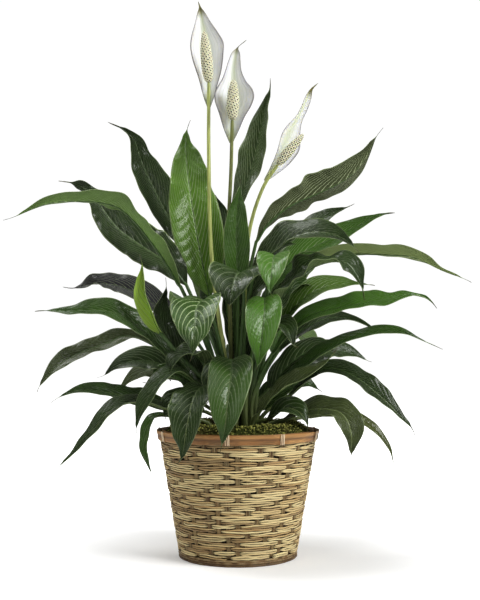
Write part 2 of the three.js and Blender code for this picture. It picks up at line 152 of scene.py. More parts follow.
# ------------------------------------------------------------------ mesh helpers
def deselect_all():
    for obj in bpy.context.selected_objects:
        obj.select_set(False)


def select_only(*objs):
    deselect_all()
    for obj in objs:
        obj.select_set(True)
    bpy.context.view_layer.objects.active = objs[0]


def named(obj, name):
    obj.name = name
    obj.data.name = name
    return obj


def coordinates(mesh):
    co = np.empty(len(mesh.vertices) * 3)
    mesh.vertices.foreach_get("co", co)
    return co.reshape(-1, 3)


def move_vertices(mesh, places):
    mesh.vertices.foreach_set("co", np.asarray(places, dtype=np.float32).ravel())
    mesh.update()


def apply_modifier(obj, kind, **settings):
    select_only(obj)
    modifier = obj.modifiers.new(kind.title(), kind)
    for key, value in settings.items():
        setattr(modifier, key, value)
    bpy.ops.object.modifier_apply(modifier=modifier.name)


def primitive(name, add, **settings):
    """A new primitive, named and selected alone."""
    deselect_all()
    add(**settings)
    return named(bpy.context.active_object, name)


def joined(name, *pieces):
    """Several pieces as one smooth piece."""
    select_only(*pieces)
    bpy.ops.object.join()
    return smooth(named(pieces[0], name))


def grid_piece(name, across, along):
    """A flat grid primitive, with x from -1 to 1 across and y from 0 to 1 along."""
    obj = primitive(name, bpy.ops.mesh.primitive_grid_add, x_subdivisions=across, y_subdivisions=along,
                    size=1)
    co = coordinates(obj.data)
    return obj, co[:, 0] * 2, np.clip(co[:, 1] + 0.5, 0, 1)


def add_values(obj, **values):
    """Numbers for each vertex, or one for them all, read by a material."""
    for name, numbers in values.items():
        layer = obj.data.attributes.new(name, "FLOAT", "POINT")
        layer.data.foreach_set("value", np.full(len(obj.data.vertices), numbers, dtype=np.float32))


def smooth(obj):
    obj.data.polygons.foreach_set("use_smooth", [True] * len(obj.data.polygons))
    return obj


def settle(obj, node, materials):
    """Gives a finished piece its materials, hangs it on the body and hides the frame's part that it
    replaces, if any.
    """
    obj.data.materials.clear()
    for material in materials:
        obj.data.materials.append(material)
    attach(obj, BODY)
    if node:
        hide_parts(node)


def unit(v):
    size = np.linalg.norm(v, axis=-1, keepdims=True)
    return v / np.where(size < 1e-12, 1, size)


def ease(x):
    x = np.clip(x, 0, 1)
    return x * x * (3 - 2 * x)


def flattened(x, power):
    """Sizes raised to a power, with their signs kept."""
    return np.sign(x) * np.abs(x) ** power


def run_along(points):
    """The length of a line up to each of its points."""
    steps = np.linalg.norm(np.diff(points, axis=0), axis=1)
    return np.concatenate([[0], np.cumsum(np.maximum(steps, 1e-9))])


def through(points, at):
    """A smooth curve through points, read at shares `at` of its length."""
    points = np.asarray(points, dtype=float)
    knots = run_along(points)
    return hermite(knots / knots[-1], points, at)


def hermite(knots, values, at):
    """Cubic through values at knots, with slopes from the neighbours on both sides."""
    values = np.asarray(values, dtype=float)
    flat = values.reshape(len(knots), -1)
    slopes = np.gradient(flat, knots, axis=0)
    at = np.clip(at, 0, knots[-1])
    k = np.clip(np.searchsorted(knots, at, side="right") - 1, 0, len(knots) - 2)
    gap = (knots[k + 1] - knots[k])[:, None]
    t = ((at - knots[k]) / (knots[k + 1] - knots[k]))[:, None]
    out = ((2 * t ** 3 - 3 * t ** 2 + 1) * flat[k] + (t ** 3 - 2 * t ** 2 + t) * gap * slopes[k]
           + (-2 * t ** 3 + 3 * t ** 2) * flat[k + 1] + (t ** 3 - t ** 2) * gap * slopes[k + 1])
    return out.reshape((len(at),) + values.shape[1:])


# ------------------------------------------------------------------ sections of the frame's lofted solids
def rings_of(node, sides):
    """Cross-sections of a lofted solid, foot first, each as `sides` points in order, and its tip."""
    bm = bmesh.new()
    bm.from_mesh(NODES[node].data)
    bmesh.ops.remove_doubles(bm, verts=bm.verts, dist=2e-6)
    bm.verts.ensure_lookup_table()
    foot_z = CROWN_HIGH.z + 0.3 * MM
    tips = [v for v in bm.verts if len(v.link_edges) == sides and abs(v.co.z - foot_z) > 0.1 * MM]
    if len(tips) != 1:
        raise RuntimeError(f"{node}: {len(tips)} tips with {sides} edges")
    tip = tips[0]
    following = {}
    for face in tip.link_faces:
        corner = [loop.vert for loop in face.loops]
        k = corner.index(tip)
        following[corner[(k + 1) % 3]] = corner[(k + 2) % 3]
    ring = [next(iter(following))]
    while len(ring) < sides:
        ring.append(following[ring[-1]])
    rings, seen = [ring], {tip, *ring}
    while True:
        place = {v: k for k, v in enumerate(rings[-1])}
        lower = {}
        for v in rings[-1]:
            for edge in v.link_edges:
                other = edge.other_vert(v)
                if other not in seen:
                    lower.setdefault(other, set()).add(place[v])
        if not lower:
            break
        found = [None] * sides
        for v, above in lower.items():
            k = next(i for i in above if (i + 1) % sides in above)
            found[k] = v
        if None in found:
            raise RuntimeError(f"{node}: a ring isn't whole")
        rings.append(found)
        seen.update(found)
    table = np.array([[tuple(v.co) for v in r] for r in reversed(rings)])
    end = np.array(tip.co)
    bm.free()
    return table, end


def blade_rings(node, sides):
    """The same sections, turned so that point 0 is on one edge and point sides/4 on the upper face."""
    table, tip = rings_of(node, sides)
    half, quarter = sides // 2, sides // 4
    spans = np.linalg.norm(table - np.roll(table, -half, axis=1), axis=2)
    wide, edge = np.unravel_index(np.argmax(spans[:, :half]), (len(table), half))
    table = np.roll(table, -edge, axis=1)
    between = (table[wide, 0] + table[wide, half]) / 2
    upper = np.linalg.norm(table[wide, quarter] - between)
    lower = np.linalg.norm(table[wide, -quarter] - between)
    if lower < upper:
        table = np.roll(table, -half, axis=1)
    return table, tip


# ------------------------------------------------------------------ shader helpers
class Board:
    """A node tree with short ways to place and link nodes."""

    def __init__(self, tree):
        self.tree = tree

    def node(self, kind, settings=None, **inputs):
        made = self.tree.nodes.new(kind)
        for key, value in (settings or {}).items():
            setattr(made, key, value)
        for key, value in inputs.items():
            socket = int(key[1:]) if key[1:].isdigit() else key.replace("_", " ")
            self.feed(made.inputs[socket], value)
        return made

    def feed(self, socket, value):
        if isinstance(value, bpy.types.NodeSocket):
            self.tree.links.new(value, socket)
        elif socket.type == "RGBA" and not isinstance(value, (int, float)) and len(value) == 3:
            socket.default_value = (*value, 1)
        else:
            socket.default_value = value

    def math(self, operation, a, b=0.0, c=0.0):
        return self.node("ShaderNodeMath", {"operation": operation}, i0=a, i1=b, i2=c).outputs[0]

    def times(self, a, b):
        return self.math("MULTIPLY", a, b)

    def place(self):
        return self.node("ShaderNodeTexCoord").outputs["Object"]

    def split(self, vector):
        return self.node("ShaderNodeSeparateXYZ", i0=vector).outputs

    def attribute(self, name):
        return self.node("ShaderNodeAttribute", {"attribute_name": name}).outputs["Fac"]

    def off_middle(self, value):
        """0 where a value is one half and 1 where it is 0 or 1."""
        return self.math("ABSOLUTE", self.math("MULTIPLY_ADD", value, 2.0, -1.0))

    def tint(self, body, mask, share, rgb):
        """A colour laid over another by a share of a mask."""
        return self.mix(self.times(mask, share), body, rgb)

    def mix(self, share, a, b):
        return self.node("ShaderNodeMix", {"data_type": "RGBA"}, Factor=share, i6=a, i7=b).outputs[2]

    def span(self, value, low, high, to_low=0.0, to_high=1.0, shape="SMOOTHSTEP"):
        made = self.node("ShaderNodeMapRange", {"interpolation_type": shape}, Value=value)
        for key, number in (("From Min", low), ("From Max", high), ("To Min", to_low), ("To Max", to_high)):
            self.feed(made.inputs[key], number)
        return made.outputs[0]

    def noise(self, vector, scale, detail=3.0, rough=0.55, stretch=None):
        if stretch:
            vector = self.node("ShaderNodeMapping", Vector=vector, Scale=stretch).outputs[0]
        made = self.node("ShaderNodeTexNoise", Vector=vector, Scale=scale, Detail=detail, Roughness=rough)
        return made.outputs["Fac"]


def new_group(name, inputs, outputs):
    """A shader group with float and vector sockets; gives its board, its inputs and its outlet."""
    group = bpy.data.node_groups.new(name, "ShaderNodeTree")
    kinds = {"f": "NodeSocketFloat", "v": "NodeSocketVector"}
    for sockets, way in ((inputs, "INPUT"), (outputs, "OUTPUT")):
        for label, letter in sockets:
            group.interface.new_socket(label, in_out=way, socket_type=kinds[letter])
    board = Board(group)
    entry = group.nodes.new("NodeGroupInput").outputs
    outlet = group.nodes.new("NodeGroupOutput").inputs
    return group, board, entry, outlet


def vein_group():
    """Side veins that leave the midrib at a slant and bend towards the tip, on the blade's own UV."""
    group, b, entry, outlet = new_group(
        "blade_veins", [("UV", "v"), ("Pairs", "f"), ("Sweep", "f"), ("Bend", "f")],
        [("Side", "f"), ("Fine", "f"), ("Midrib", "f"), ("Margin", "f")])
    place = b.split(entry["UV"])
    out = b.off_middle(place[0])
    swept = b.times(b.math("POWER", out, entry["Bend"]), entry["Sweep"])
    line = b.times(b.math("SUBTRACT", place[1], swept), entry["Pairs"])

    def ridge(times, low):
        part = b.math("FRACT", b.times(line, times))
        return b.span(b.off_middle(part), low, 1.0)

    b.feed(outlet["Side"], ridge(1.0, 0.72))
    b.feed(outlet["Fine"], ridge(4.0, 0.3))
    b.feed(outlet["Midrib"], b.span(out, 0.0, 0.06, 1.0, 0.0))
    b.feed(outlet["Margin"], b.span(out, 0.93, 0.99))
    return group


def mottle_group():
    """Uneven colour at two scales: whole leaves apart from each other, and cloudy within one."""
    group, b, entry, outlet = new_group("mottle", [("Position", "v"), ("Broad", "f"), ("Close", "f")],
                                        [("Broad", "f"), ("Close", "f")])
    b.feed(outlet["Broad"], b.span(b.noise(entry["Position"], entry["Broad"], 1.0), 0.3, 0.7))
    b.feed(outlet["Close"], b.span(b.noise(entry["Position"], entry["Close"], 4.0), 0.32, 0.68))
    return group


def fibre_group():
    """Streaks along a straw or a split cane, on its own UV, with the length along U."""
    group, b, entry, outlet = new_group("fibre", [("UV", "v"), ("Length", "f"), ("Width", "f")],
                                        [("Streak", "f"), ("Blotch", "f")])
    scale = b.node("ShaderNodeCombineXYZ", i0=entry["Length"], i1=entry["Width"], i2=1.0).outputs[0]
    place = b.node("ShaderNodeVectorMath", {"operation": "MULTIPLY"}, i0=entry["UV"], i1=scale).outputs[0]
    b.feed(outlet["Streak"], b.noise(place, 1.0, 3.0, 0.6))
    b.feed(outlet["Blotch"], b.span(b.noise(place, 0.13, 2.0), 0.35, 0.65))
    return group


SHARED = {}


def shared(name):
    makers = {"veins": vein_group, "mottle": mottle_group, "fibre": fibre_group}
    if name not in SHARED:
        SHARED[name] = makers[name]()
    return SHARED[name]


def new_material(name, **constants):
    """A material with its shader's constant sockets set; gives it, its board and the shader."""
    material = bpy.data.materials.new(name)
    material.use_nodes = True
    board = Board(material.node_tree)
    shader = material.node_tree.nodes["Principled BSDF"]
    for key, value in constants.items():
        board.feed(shader.inputs[key.replace("_", " ")], value)
    return material, board, shader


def use_group(board, name, **inputs):
    made = board.node("ShaderNodeGroup", {"node_tree": shared(name)})
    for key, value in inputs.items():
        board.feed(made.inputs[key], value)
    return made.outputs


def dress(board, shader, body, height, distance, rough=None):
    """Gives a shader its colour, its relief and, where it varies, its roughness."""
    board.feed(shader.inputs["Base Color"], body)
    made = board.node("ShaderNodeBump", Height=height, Distance=distance, Strength=1.0)
    board.feed(shader.inputs["Normal"], made.outputs[0])
    if rough:
        board.feed(shader.inputs["Roughness"], rough)


def scaled(rgb, factor):
    return tuple(min(1.0, c * factor) for c in rgb)


def blend(a, b, share):
    return tuple(x + (y - x) * share for x, y in zip(a, b))


# ------------------------------------------------------------------ plant materials
VEIN_SWEEP = 0.46
VEIN_BEND = 1.3


def blade_material(name, base, face):
    """Waxy upper face or duller, paler lower face of a leaf."""
    upper = face == "upper"
    material, b, shader = new_material(name, Specular_IOR_Level=0.22 if upper else 0.14,
                                       Coat_Weight=0.32 if upper else 0.1, Coat_Roughness=0.2)
    uv = b.node("ShaderNodeUVMap").outputs[0]
    place = b.place()
    tone, pairs, stripe = map(b.attribute, ("tone", "pairs", "stripe"))
    veins = use_group(b, "veins", UV=uv, Pairs=pairs, Sweep=VEIN_SWEEP, Bend=VEIN_BEND)
    cloud = use_group(b, "mottle", Position=place, Broad=11.0, Close=70.0)
    body = b.mix(tone, scaled(base, 0.6), scaled(base, 2.3))
    body = b.tint(body, cloud["Broad"], 0.5, b.mix(tone, scaled(base, 0.35), base))
    body = b.tint(body, cloud["Close"], 0.3, scaled(base, 1.9))
    # Pale vein lines and midrib: partly the veins' own paler green, partly painted highlight where the ribs
    # catch the light; stronger on striped leaves and fading towards the tip.
    pale = blend(scaled(base, 2.4), (0.6, 0.68, 0.42), 0.65)
    along = b.split(uv)[1]
    shown = b.times(b.span(along, 0.6, 1.0, 1.0, 0.3), b.math("MULTIPLY_ADD", stripe, 0.8, 0.26))
    body = b.tint(body, veins["Side"], shown, pale)
    body = b.tint(body, veins["Fine"], 0.12, pale)
    body = b.tint(body, veins["Midrib"], 0.55, pale)
    # A pale line along the margin: painted highlight where the folded edge catches the light.
    body = b.tint(body, veins["Margin"], 0.65, (0.34, 0.42, 0.2))
    body = b.mix(b.span(along, 0.93, 0.99, 0.0, 0.85), body, (0.07, 0.045, 0.022))
    glossy, dull = (0.27, 0.33) if upper else (0.4, 0.5)
    relief = b.math("ADD", b.times(veins["Side"], -1.0 if upper else 1.0), b.times(veins["Fine"], -0.4))
    grain = b.times(b.noise(place, 500.0, 2.0), 0.12)
    dress(b, shader, body, b.math("ADD", relief, grain), 0.5 * MM,
          b.span(cloud["Close"], 0.0, 1.0, glossy, dull, "LINEAR"))
    return material


def stem_material(name, base):
    """Smooth green stem, paler low down, with faint lengthwise streaks."""
    material, b, shader = new_material(name, Specular_IOR_Level=0.45, Coat_Weight=0.1, Coat_Roughness=0.35)
    place = b.place()
    low = b.span(b.split(place)[2], CROWN_HIGH.z, CROWN_HIGH.z + 90 * MM, 1.0, 0.0)
    streak = b.noise(place, 60.0, 3.0, 0.6, stretch=(8.0, 8.0, 0.5))
    body = b.mix(b.span(streak, 0.35, 0.65), scaled(base, 0.75), scaled(base, 1.3))
    body = b.tint(body, low, 0.55, (0.3, 0.33, 0.13))
    dress(b, shader, body, streak, 0.15 * MM, b.span(streak, 0.3, 0.7, 0.36, 0.5))
    return material


# ------------------------------------------------------------------ leaves
STEM_SECTIONS = 7              # sections from a leaf's foot to its neck, the neck included
BLADE_ACROSS = 22
BLADE_ALONG = 160
HAIR = 0.9                     # share of a leaf's length where its tip turns into a hair
FULL_TURN = 6.28               # radians in one wave of a margin


def blade_form(node, sides, first):
    """Knots and tracks along a blade: middle line, half-width vector and the lift of its edges."""
    table, tip = blade_rings(node, sides)
    half, quarter = sides // 2, sides // 4
    middle = (table[:, quarter] + table[:, -quarter]) / 2
    across = (table[:, half] - table[:, 0]) / 2
    lift = (table[:, half] + table[:, 0]) / 2 - middle
    middle, across, lift = (np.vstack([track, end])[first:] for track, end in
                            ((middle, tip), (across, np.zeros(3)), (lift, np.zeros(3))))
    return run_along(middle), middle, across, lift, table[:first + 1]


def on_blade(form, s, u, fold=1.0):
    """Points of a blade's sheet, its upward direction and its half width, at shares s across and u along."""
    knots, middle, across, lift = form[:4]
    at = u * knots[-1]
    centre = hermite(knots, middle, at)
    ahead = hermite(knots, middle, np.minimum(at + 1 * MM, knots[-1]))
    behind = hermite(knots, middle, np.maximum(at - 1 * MM, 0))
    fine = 1 - (0.45 * ease((u - 0.74) / 0.18) + 0.48 * ease((u - HAIR) / 0.05)) * (u < 1)
    side = hermite(knots, across, at) * fine[:, None]
    raised = hermite(knots, lift, at) * fine[:, None]
    face = unit(np.cross(side, ahead - behind))
    points = centre + side * s[:, None] + raised * (fold * np.abs(s) ** (2.4 - 0.8 * fold))[:, None]
    return points, face, np.linalg.norm(side, axis=1)


def leaf_sheet(node, form, settings, rng):
    """The blade as a thin waved sheet with grooved veins, upper face first."""
    obj, s, u = grid_piece(node + "_leaf", BLADE_ACROSS, BLADE_ALONG)
    points, face, half = on_blade(form, s, u, settings.fold)
    out = np.abs(s)
    tall = form[0][-1]
    size = half.max() / (25 * MM)
    phase = np.where(s < 0, rng.uniform(0, FULL_TURN), rng.uniform(0, FULL_TURN))
    waves = tall / (95 * MM) * rng.uniform(0.8, 1.3)
    drift = np.array([noise.noise((a * 3.0, phase[0], 2.0)) for a in u])
    swell = settings.ripple * size * np.sin(math.pi * u) ** 0.6 * out ** 1.8
    swell = swell * np.clip(0.7 + 1.6 * drift, 0.1, 1.5)
    turns = FULL_TURN * waves * u
    wave = swell * (np.sin(turns + phase) + 0.45 * np.sin(2.7 * turns + 2 * phase))
    pairs = tall / settings.vein_gap
    vein = pairs * (u - VEIN_SWEEP * out ** VEIN_BEND)
    groove = settings.quilting * (np.abs(np.sin(math.pi * vein)) ** 0.6 - 1) * (1 - out ** 4)
    groove = groove * np.clip(half / (14 * MM), 0, 1) * ease(u / 0.08)
    belly = 0.09 * half * (4 * out * (1 - out)) * ease(u / 0.1)
    bend = [rng.uniform(-6, 6) * MM, 0, rng.uniform(-5, 7) * MM]
    hook = (np.clip((u - HAIR) / (1 - HAIR), 0, 1) ** 2)[:, None] * bend
    channel = -0.8 * MM * np.exp(-(s * half / (1.5 * MM)) ** 2) * ease((1 - u) / 0.3)
    move_vertices(obj.data, points + hook + face * (wave + groove + belly + channel)[:, None])
    add_values(obj, pairs=pairs)
    return obj


def stem_tube(name, path, radii, sides=3):
    """A round stem along a path, its thickness given point by point."""
    obj = primitive(name, bpy.ops.curve.primitive_nurbs_path_add)
    curve = obj.data
    curve.splines.clear()
    spline = curve.splines.new("POLY")
    spline.points.add(len(path) - 1)
    spline.points.foreach_set("co", np.hstack([path, np.ones((len(path), 1))]).ravel())
    spline.points.foreach_set("radius", np.asarray(radii) / MM)
    curve.dimensions = "3D"
    curve.bevel_depth = MM
    curve.bevel_resolution = sides
    curve.use_fill_caps = True
    select_only(obj)
    bpy.ops.object.convert(target="MESH")
    return bpy.context.active_object


def leaf_stem(node, form):
    """The stem, running on under the blade as its midrib."""
    low = form[4].mean(axis=1)
    girth = np.linalg.norm(form[4][:, 2] - form[4][:, 0], axis=1) / 2
    below = np.linspace(0, 1, 26)
    path = through(low, below)
    thick = np.interp(below, np.linspace(0, 1, len(girth)), girth)
    u = np.linspace(0.02, HAIR, 34)
    points, face, _ = on_blade(form, np.zeros_like(u), u)
    rib = girth[-1] * (0.72 * (1 - u) ** 1.1) + 0.12 * MM
    path = np.vstack([path, points - face * (0.8 * rib + 0.55 * MM)[:, None]])
    return stem_tube(node + "_stem", path, np.concatenate([thick, rib]))


# Leaves painted brighter as if in sunlight (painted light), and leaves with their vein lines painted
# stronger (partly painted highlight), each with its share.
SUNLIT_TONE = 1.0
STRIPED_SHARE = 1.2
SUNLIT = ("leaf_upright_bright", "leaf_front_bright", "leaf_front_right_upper",
          "leaf_right_veined", "leaf_right_thick", "leaf_front_lower", "leaf_right_far", "leaf_left_young")
STRIPED = ("leaf_upright_bright", "leaf_right_veined", "leaf_right_yellow_green", "leaf_right_top",
           "leaf_left_dusky", "leaf_upright_veined", "leaf_front_upper_left", "inner_7", "inner_10")


def make_leaf(node, form, settings, materials):
    """A blade and its stem as one piece, standing for nothing yet."""
    rng = random.Random(node)
    blade = leaf_sheet(node, form, settings, rng)
    upper, lower, petiole = materials
    # Sunlit leaves take the highest tone: painted light.
    add_values(blade, tone=SUNLIT_TONE if node in SUNLIT else rng.uniform(0.0, 0.6),
               stripe=STRIPED_SHARE if node in STRIPED else rng.uniform(0.0, 0.4))
    blade.data.materials.append(upper)
    blade.data.materials.append(lower)
    apply_modifier(blade, "SOLIDIFY", thickness=settings.blade_thickness, offset=-1.0, material_offset=1)
    stem = leaf_stem(node, form)
    stem.data.materials.append(petiole)
    joined(blade.name, blade, stem)
    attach(blade, BODY)
    return blade


# Short leaves that fill the middle of the plant: slot, width, roll in degrees, and the blade's line
# from the neck to the tip, all in millimetres from the middle of the crown's top.
INNER_LEAVES = (
    ("leaf_dark", 46, -40, ((-44, 30, 60), (-92, 36, 118), (-112, 40, 170), (-100, 42, 215))),
    ("leaf_dark", 44, -10, ((-30, -20, 70), (-62, -40, 110), (-84, -58, 104), (-92, -66, 70))),
    ("leaf_mid", 40, -40, ((-50, 10, 40), (-80, 0, 76), (-104, -10, 82), (-128, -16, 64))),
    ("leaf_dark", 50, 0, ((-20, 20, 110), (-48, 26, 170), (-66, 30, 222), (-70, 34, 262))),
    ("leaf_dark", 44, 0, ((-8, -30, 60), (-20, -52, 92), (-30, -70, 80), (-36, -78, 44))),
    ("leaf_dark", 52, 0, ((6, 30, 90), (0, 44, 150), (-6, 52, 205), (-4, 56, 250))),
    ("leaf_dark", 50, 0, ((20, 26, 80), (40, 36, 130), (56, 40, 180), (66, 40, 220))),
    ("leaf_mid", 48, 40, ((30, 0, 130), (58, -6, 180), (84, -10, 206), (112, -16, 200))),
    ("leaf_dark", 44, 45, ((44, 10, 60), (84, 16, 104), (116, 20, 120), (148, 20, 108))),
    ("leaf_dark", 46, 15, ((24, -30, 110), (44, -56, 150), (62, -76, 146), (74, -88, 112))),
    ("leaf_mid", 50, 45, ((34, 10, 150), (70, 14, 205), (104, 14, 240), (140, 10, 262))),
    ("leaf_dark", 54, 40, ((10, 20, 170), (36, 24, 230), (60, 26, 262), (88, 24, 268))),
    ("leaf_dark", 44, -30, ((-46, -10, 30), (-74, -24, 50), (-90, -36, 44), (-100, -44, 20))),
    ("leaf_dark", 40, 30, ((40, -20, 20), (66, -34, 36), (84, -44, 30), (96, -50, 8))),
    ("leaf_mid", 44, 40, ((30, 10, 30), (60, 24, 60), (90, 34, 70), (120, 40, 56))),
    ("leaf_dark", 44, -40, ((-30, 40, 40), (-60, 60, 80), (-90, 76, 90), (-118, 86, 74))),
    ("leaf_dark", 50, 0, ((0, 50, 60), (6, 90, 110), (10, 124, 120), (12, 150, 96))),
)


def turned_about(v, axis, degrees):
    """Vectors turned about unit axes."""
    c, sn = math.cos(math.radians(degrees)), math.sin(math.radians(degrees))
    return v * c + np.cross(axis, v) * sn + axis * (v * axis).sum(axis=1, keepdims=True) * (1 - c)


def inner_form(width, roll, line):
    """The same knots and tracks as a blade read from the frame, for a leaf given by its line."""
    points = np.array(line, dtype=float) * MM + (0, 0, CROWN_HIGH.z)
    foot = np.array([points[0][0] * 0.35, points[0][1] * 0.35, CROWN_HIGH.z - 2 * MM])
    upright = foot + (0, 0, 0.4 * (points[0][2] - foot[2]))
    stem = through(np.vstack([foot, upright, points]), np.linspace(0, 1, 61))
    start = int(np.argmin(np.linalg.norm(stem - points[0], axis=1)))
    middle = through(stem[start:], np.linspace(0, 1, 14))
    along = unit(np.gradient(middle, axis=0))
    run = math.atan2(points[-1][1] - points[0][1], points[-1][0] - points[0][0])
    side = np.tile([math.sin(run), -math.cos(run), 0.0], (len(middle), 1))
    side = unit(side - along * (side * along).sum(axis=1, keepdims=True))
    side = turned_about(side, along, roll)
    u = np.linspace(0, 1, len(middle))
    half = width / 2 * MM * np.sin(math.pi * u ** 0.78) ** 0.8 * (1 - 0.35 * u ** 3)
    half[0] = 2.4 * MM
    half[-1] = 0
    face = unit(np.cross(side, along))
    low = stem[:start + 1][:: max(1, start // 6)]
    girth, depth = 2.6 * MM * side[:1], 2.6 * MM * face[:1]
    ring = np.stack([low - girth, low + depth, low + girth, low - depth], axis=1)
    return run_along(middle), middle, side * half[:, None], face * 0.22 * half[:, None], ring


# Leaves whose upper face has a colour of its own.
OWN_COLOURS = {
    "leaf_left_dusky": (0.045, 0.042, 0.054), "leaf_right_top": (0.04, 0.05, 0.018),
    "leaf_right_lowest": (0.06, 0.075, 0.015), "leaf_left_drooping": (0.035, 0.05, 0.012),
    "leaf_upright_veined": (0.035, 0.07, 0.01), "leaf_upright_bright": (0.05, 0.11, 0.006),
}


class LILY_OT_leaves(bpy.types.Operator):
    """Draw every leaf along its solid in the frame"""
    bl_idname = "lily.leaves"
    bl_label = "Leaves"

    def execute(self, context):
        s = context.scene.lily_foliage
        tones = {"leaf_dark": s.dark, "leaf_mid": s.mid, "leaf_olive": s.olive, "leaf_young": s.young}
        petiole = stem_material("petiole", s.petiole)

        def looks_of(name, upper, lower):
            return (blade_material(name + "_upper", upper, "upper"),
                    blade_material(name + "_lower", lower, "lower"), petiole)

        looks = {slot: looks_of(slot, tuple(base), blend(scaled(base, 1.9), (0.16, 0.2, 0.085), 0.45))
                 for slot, base in tones.items()}
        own = {**OWN_COLOURS, "leaf_right_yellow_green": blend(s.mid, s.young, 0.15)}
        for node in LEAF_NODES:
            materials = looks[slot_of(node)]
            if node in own:
                materials = looks_of(node, own[node], scaled(own[node], 1.15))
            leaf = make_leaf(node, blade_form(node, 4, STEM_SECTIONS - 1), s, materials)
            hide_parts(node)
        for k, (slot, width, roll, line) in enumerate(INNER_LEAVES):
            leaf = make_leaf(f"inner_{k}", inner_form(width, roll, line), s, looks[slot])
        return {"FINISHED"}


# ------------------------------------------------------------------ flowers
# Each hood's outline: shares of its length, its width there as a share of the widest, and how far it
# sways to the right in millimetres.
HOOD_FORMS = {
    "flower_tall": ((0.0, 0.08, 0.23, 0.35, 0.47, 0.6, 0.69, 0.8, 0.9, 0.95, 1.0),
                    (0.08, 0.27, 0.52, 0.74, 0.9, 0.95, 0.76, 0.45, 0.2, 0.05, 0.02),
                    (0, 0, 0, 1, 2, 3, 2, 1, 1, 1, 0)),
    "flower_middle": ((0.0, 0.1, 0.25, 0.35, 0.44, 0.51, 0.6, 0.7, 0.8, 0.88, 0.92, 1.0),
                      (0.08, 0.34, 0.66, 0.93, 1.0, 0.88, 0.6, 0.4, 0.29, 0.18, 0.04, 0.02),
                      (-1, -2, -3, -3, -3, -3.5, -6, -8, -8.5, -8.5, -8, 3)),
    "flower_right": ((0.0, 0.12, 0.28, 0.42, 0.54, 0.66, 0.78, 0.88, 0.95, 1.0),
                     (0.1, 0.4, 0.85, 1.0, 0.74, 0.44, 0.34, 0.26, 0.08, 0.02),
                     (0, 0, 0, 0, 0, 0, -1, -2, -1, 4)),
}
SPIKE_AROUND = 112
SPIKE_ALONG = 150
GOLDEN_ANGLE = 2.39996         # turn from one floret to the next
HOOD_ACROSS = 30
HOOD_ALONG = 90
HOOD_RIBS = 7


def hood_material(s):
    """White hood, green at its throat and point, with faint lengthwise veins and light coming through."""
    material, b, shader = new_material("spathe", Specular_IOR_Level=0.4, Roughness=0.42,
                                       Subsurface_Weight=0.55, Subsurface_Scale=4.0 * MM,
                                       Subsurface_Radius=(1.0, 0.9, 0.6))
    uv = b.node("ShaderNodeUVMap").outputs[0]
    place = b.place()
    x, y = b.split(uv)[:2]
    out = b.off_middle(x)
    spread = b.math("ADD", b.math("SINE", b.times(y, 3.0)), 0.35)
    fan = b.math("DIVIDE", b.math("SUBTRACT", x, 0.5), spread)
    vein = b.span(b.math("ABSOLUTE", b.math("SINE", b.times(fan, 46.0))), 0.9, 1.0)
    cloud = use_group(b, "mottle", Position=place, Broad=30.0, Close=140.0)
    body = b.tint(tuple(s.white), cloud["Close"], 0.25, scaled(s.white, 0.9))
    body = b.tint(body, vein, 0.3, blend(s.white, s.throat, 0.55))
    heart = b.times(b.span(out, 0.0, 0.6, 0.85, 0.0), b.span(y, 0.3, 0.75, 0.75, 1.0))
    body = b.mix(heart, body, blend(s.white, s.throat, 0.5))
    # Greyed towards the margins and a dark line along them: painted shade at the hood's edges.
    body = b.mix(b.span(out, 0.5, 0.95, 0.0, 0.65), body, (0.47, 0.455, 0.51))
    body = b.mix(b.span(out, 0.9, 0.97, 0.0, 0.85), body, (0.15, 0.15, 0.17))
    throat = b.times(b.span(y, 0.0, 0.2, 1.0, 0.0), b.span(out, 0.15, 1.0, 1.0, 0.35))
    body = b.tint(body, throat, 0.9, tuple(s.throat))
    body = b.mix(b.span(out, 0.0, 0.07, 0.4, 0.0), body, blend(s.white, s.throat, 0.6))
    body = b.mix(b.span(y, 0.84, 0.94), body, (0.1, 0.1, 0.035))
    grain = b.times(b.noise(place, 700.0, 2.0), 0.25)
    dress(b, shader, body, b.math("ADD", b.times(vein, -0.8), grain), 0.2 * MM)
    return material


def spike_material(s):
    """Cream florets with a dark eye in the middle of each."""
    material, b, shader = new_material("spadix", Roughness=0.55, Subsurface_Weight=0.2,
                                       Subsurface_Scale=1.0 * MM, Subsurface_Radius=(1.0, 0.8, 0.4))
    place = b.place()
    centre = b.attribute("centre")
    tone = b.noise(place, 260.0, 2.0)
    body = b.mix(b.span(tone, 0.35, 0.65), tuple(s.cream), scaled(s.cream, 1.25))
    # Darker between the florets: painted shade in the hollows between them.
    body = b.mix(b.span(centre, 0.0, 0.35, 0.85, 0.0), body, (0.2, 0.19, 0.06))
    body = b.mix(b.span(centre, 0.46, 0.56), body, (0.02, 0.016, 0.006))
    dress(b, shader, body, b.noise(place, 1500.0, 2.0), 0.1 * MM)
    return material


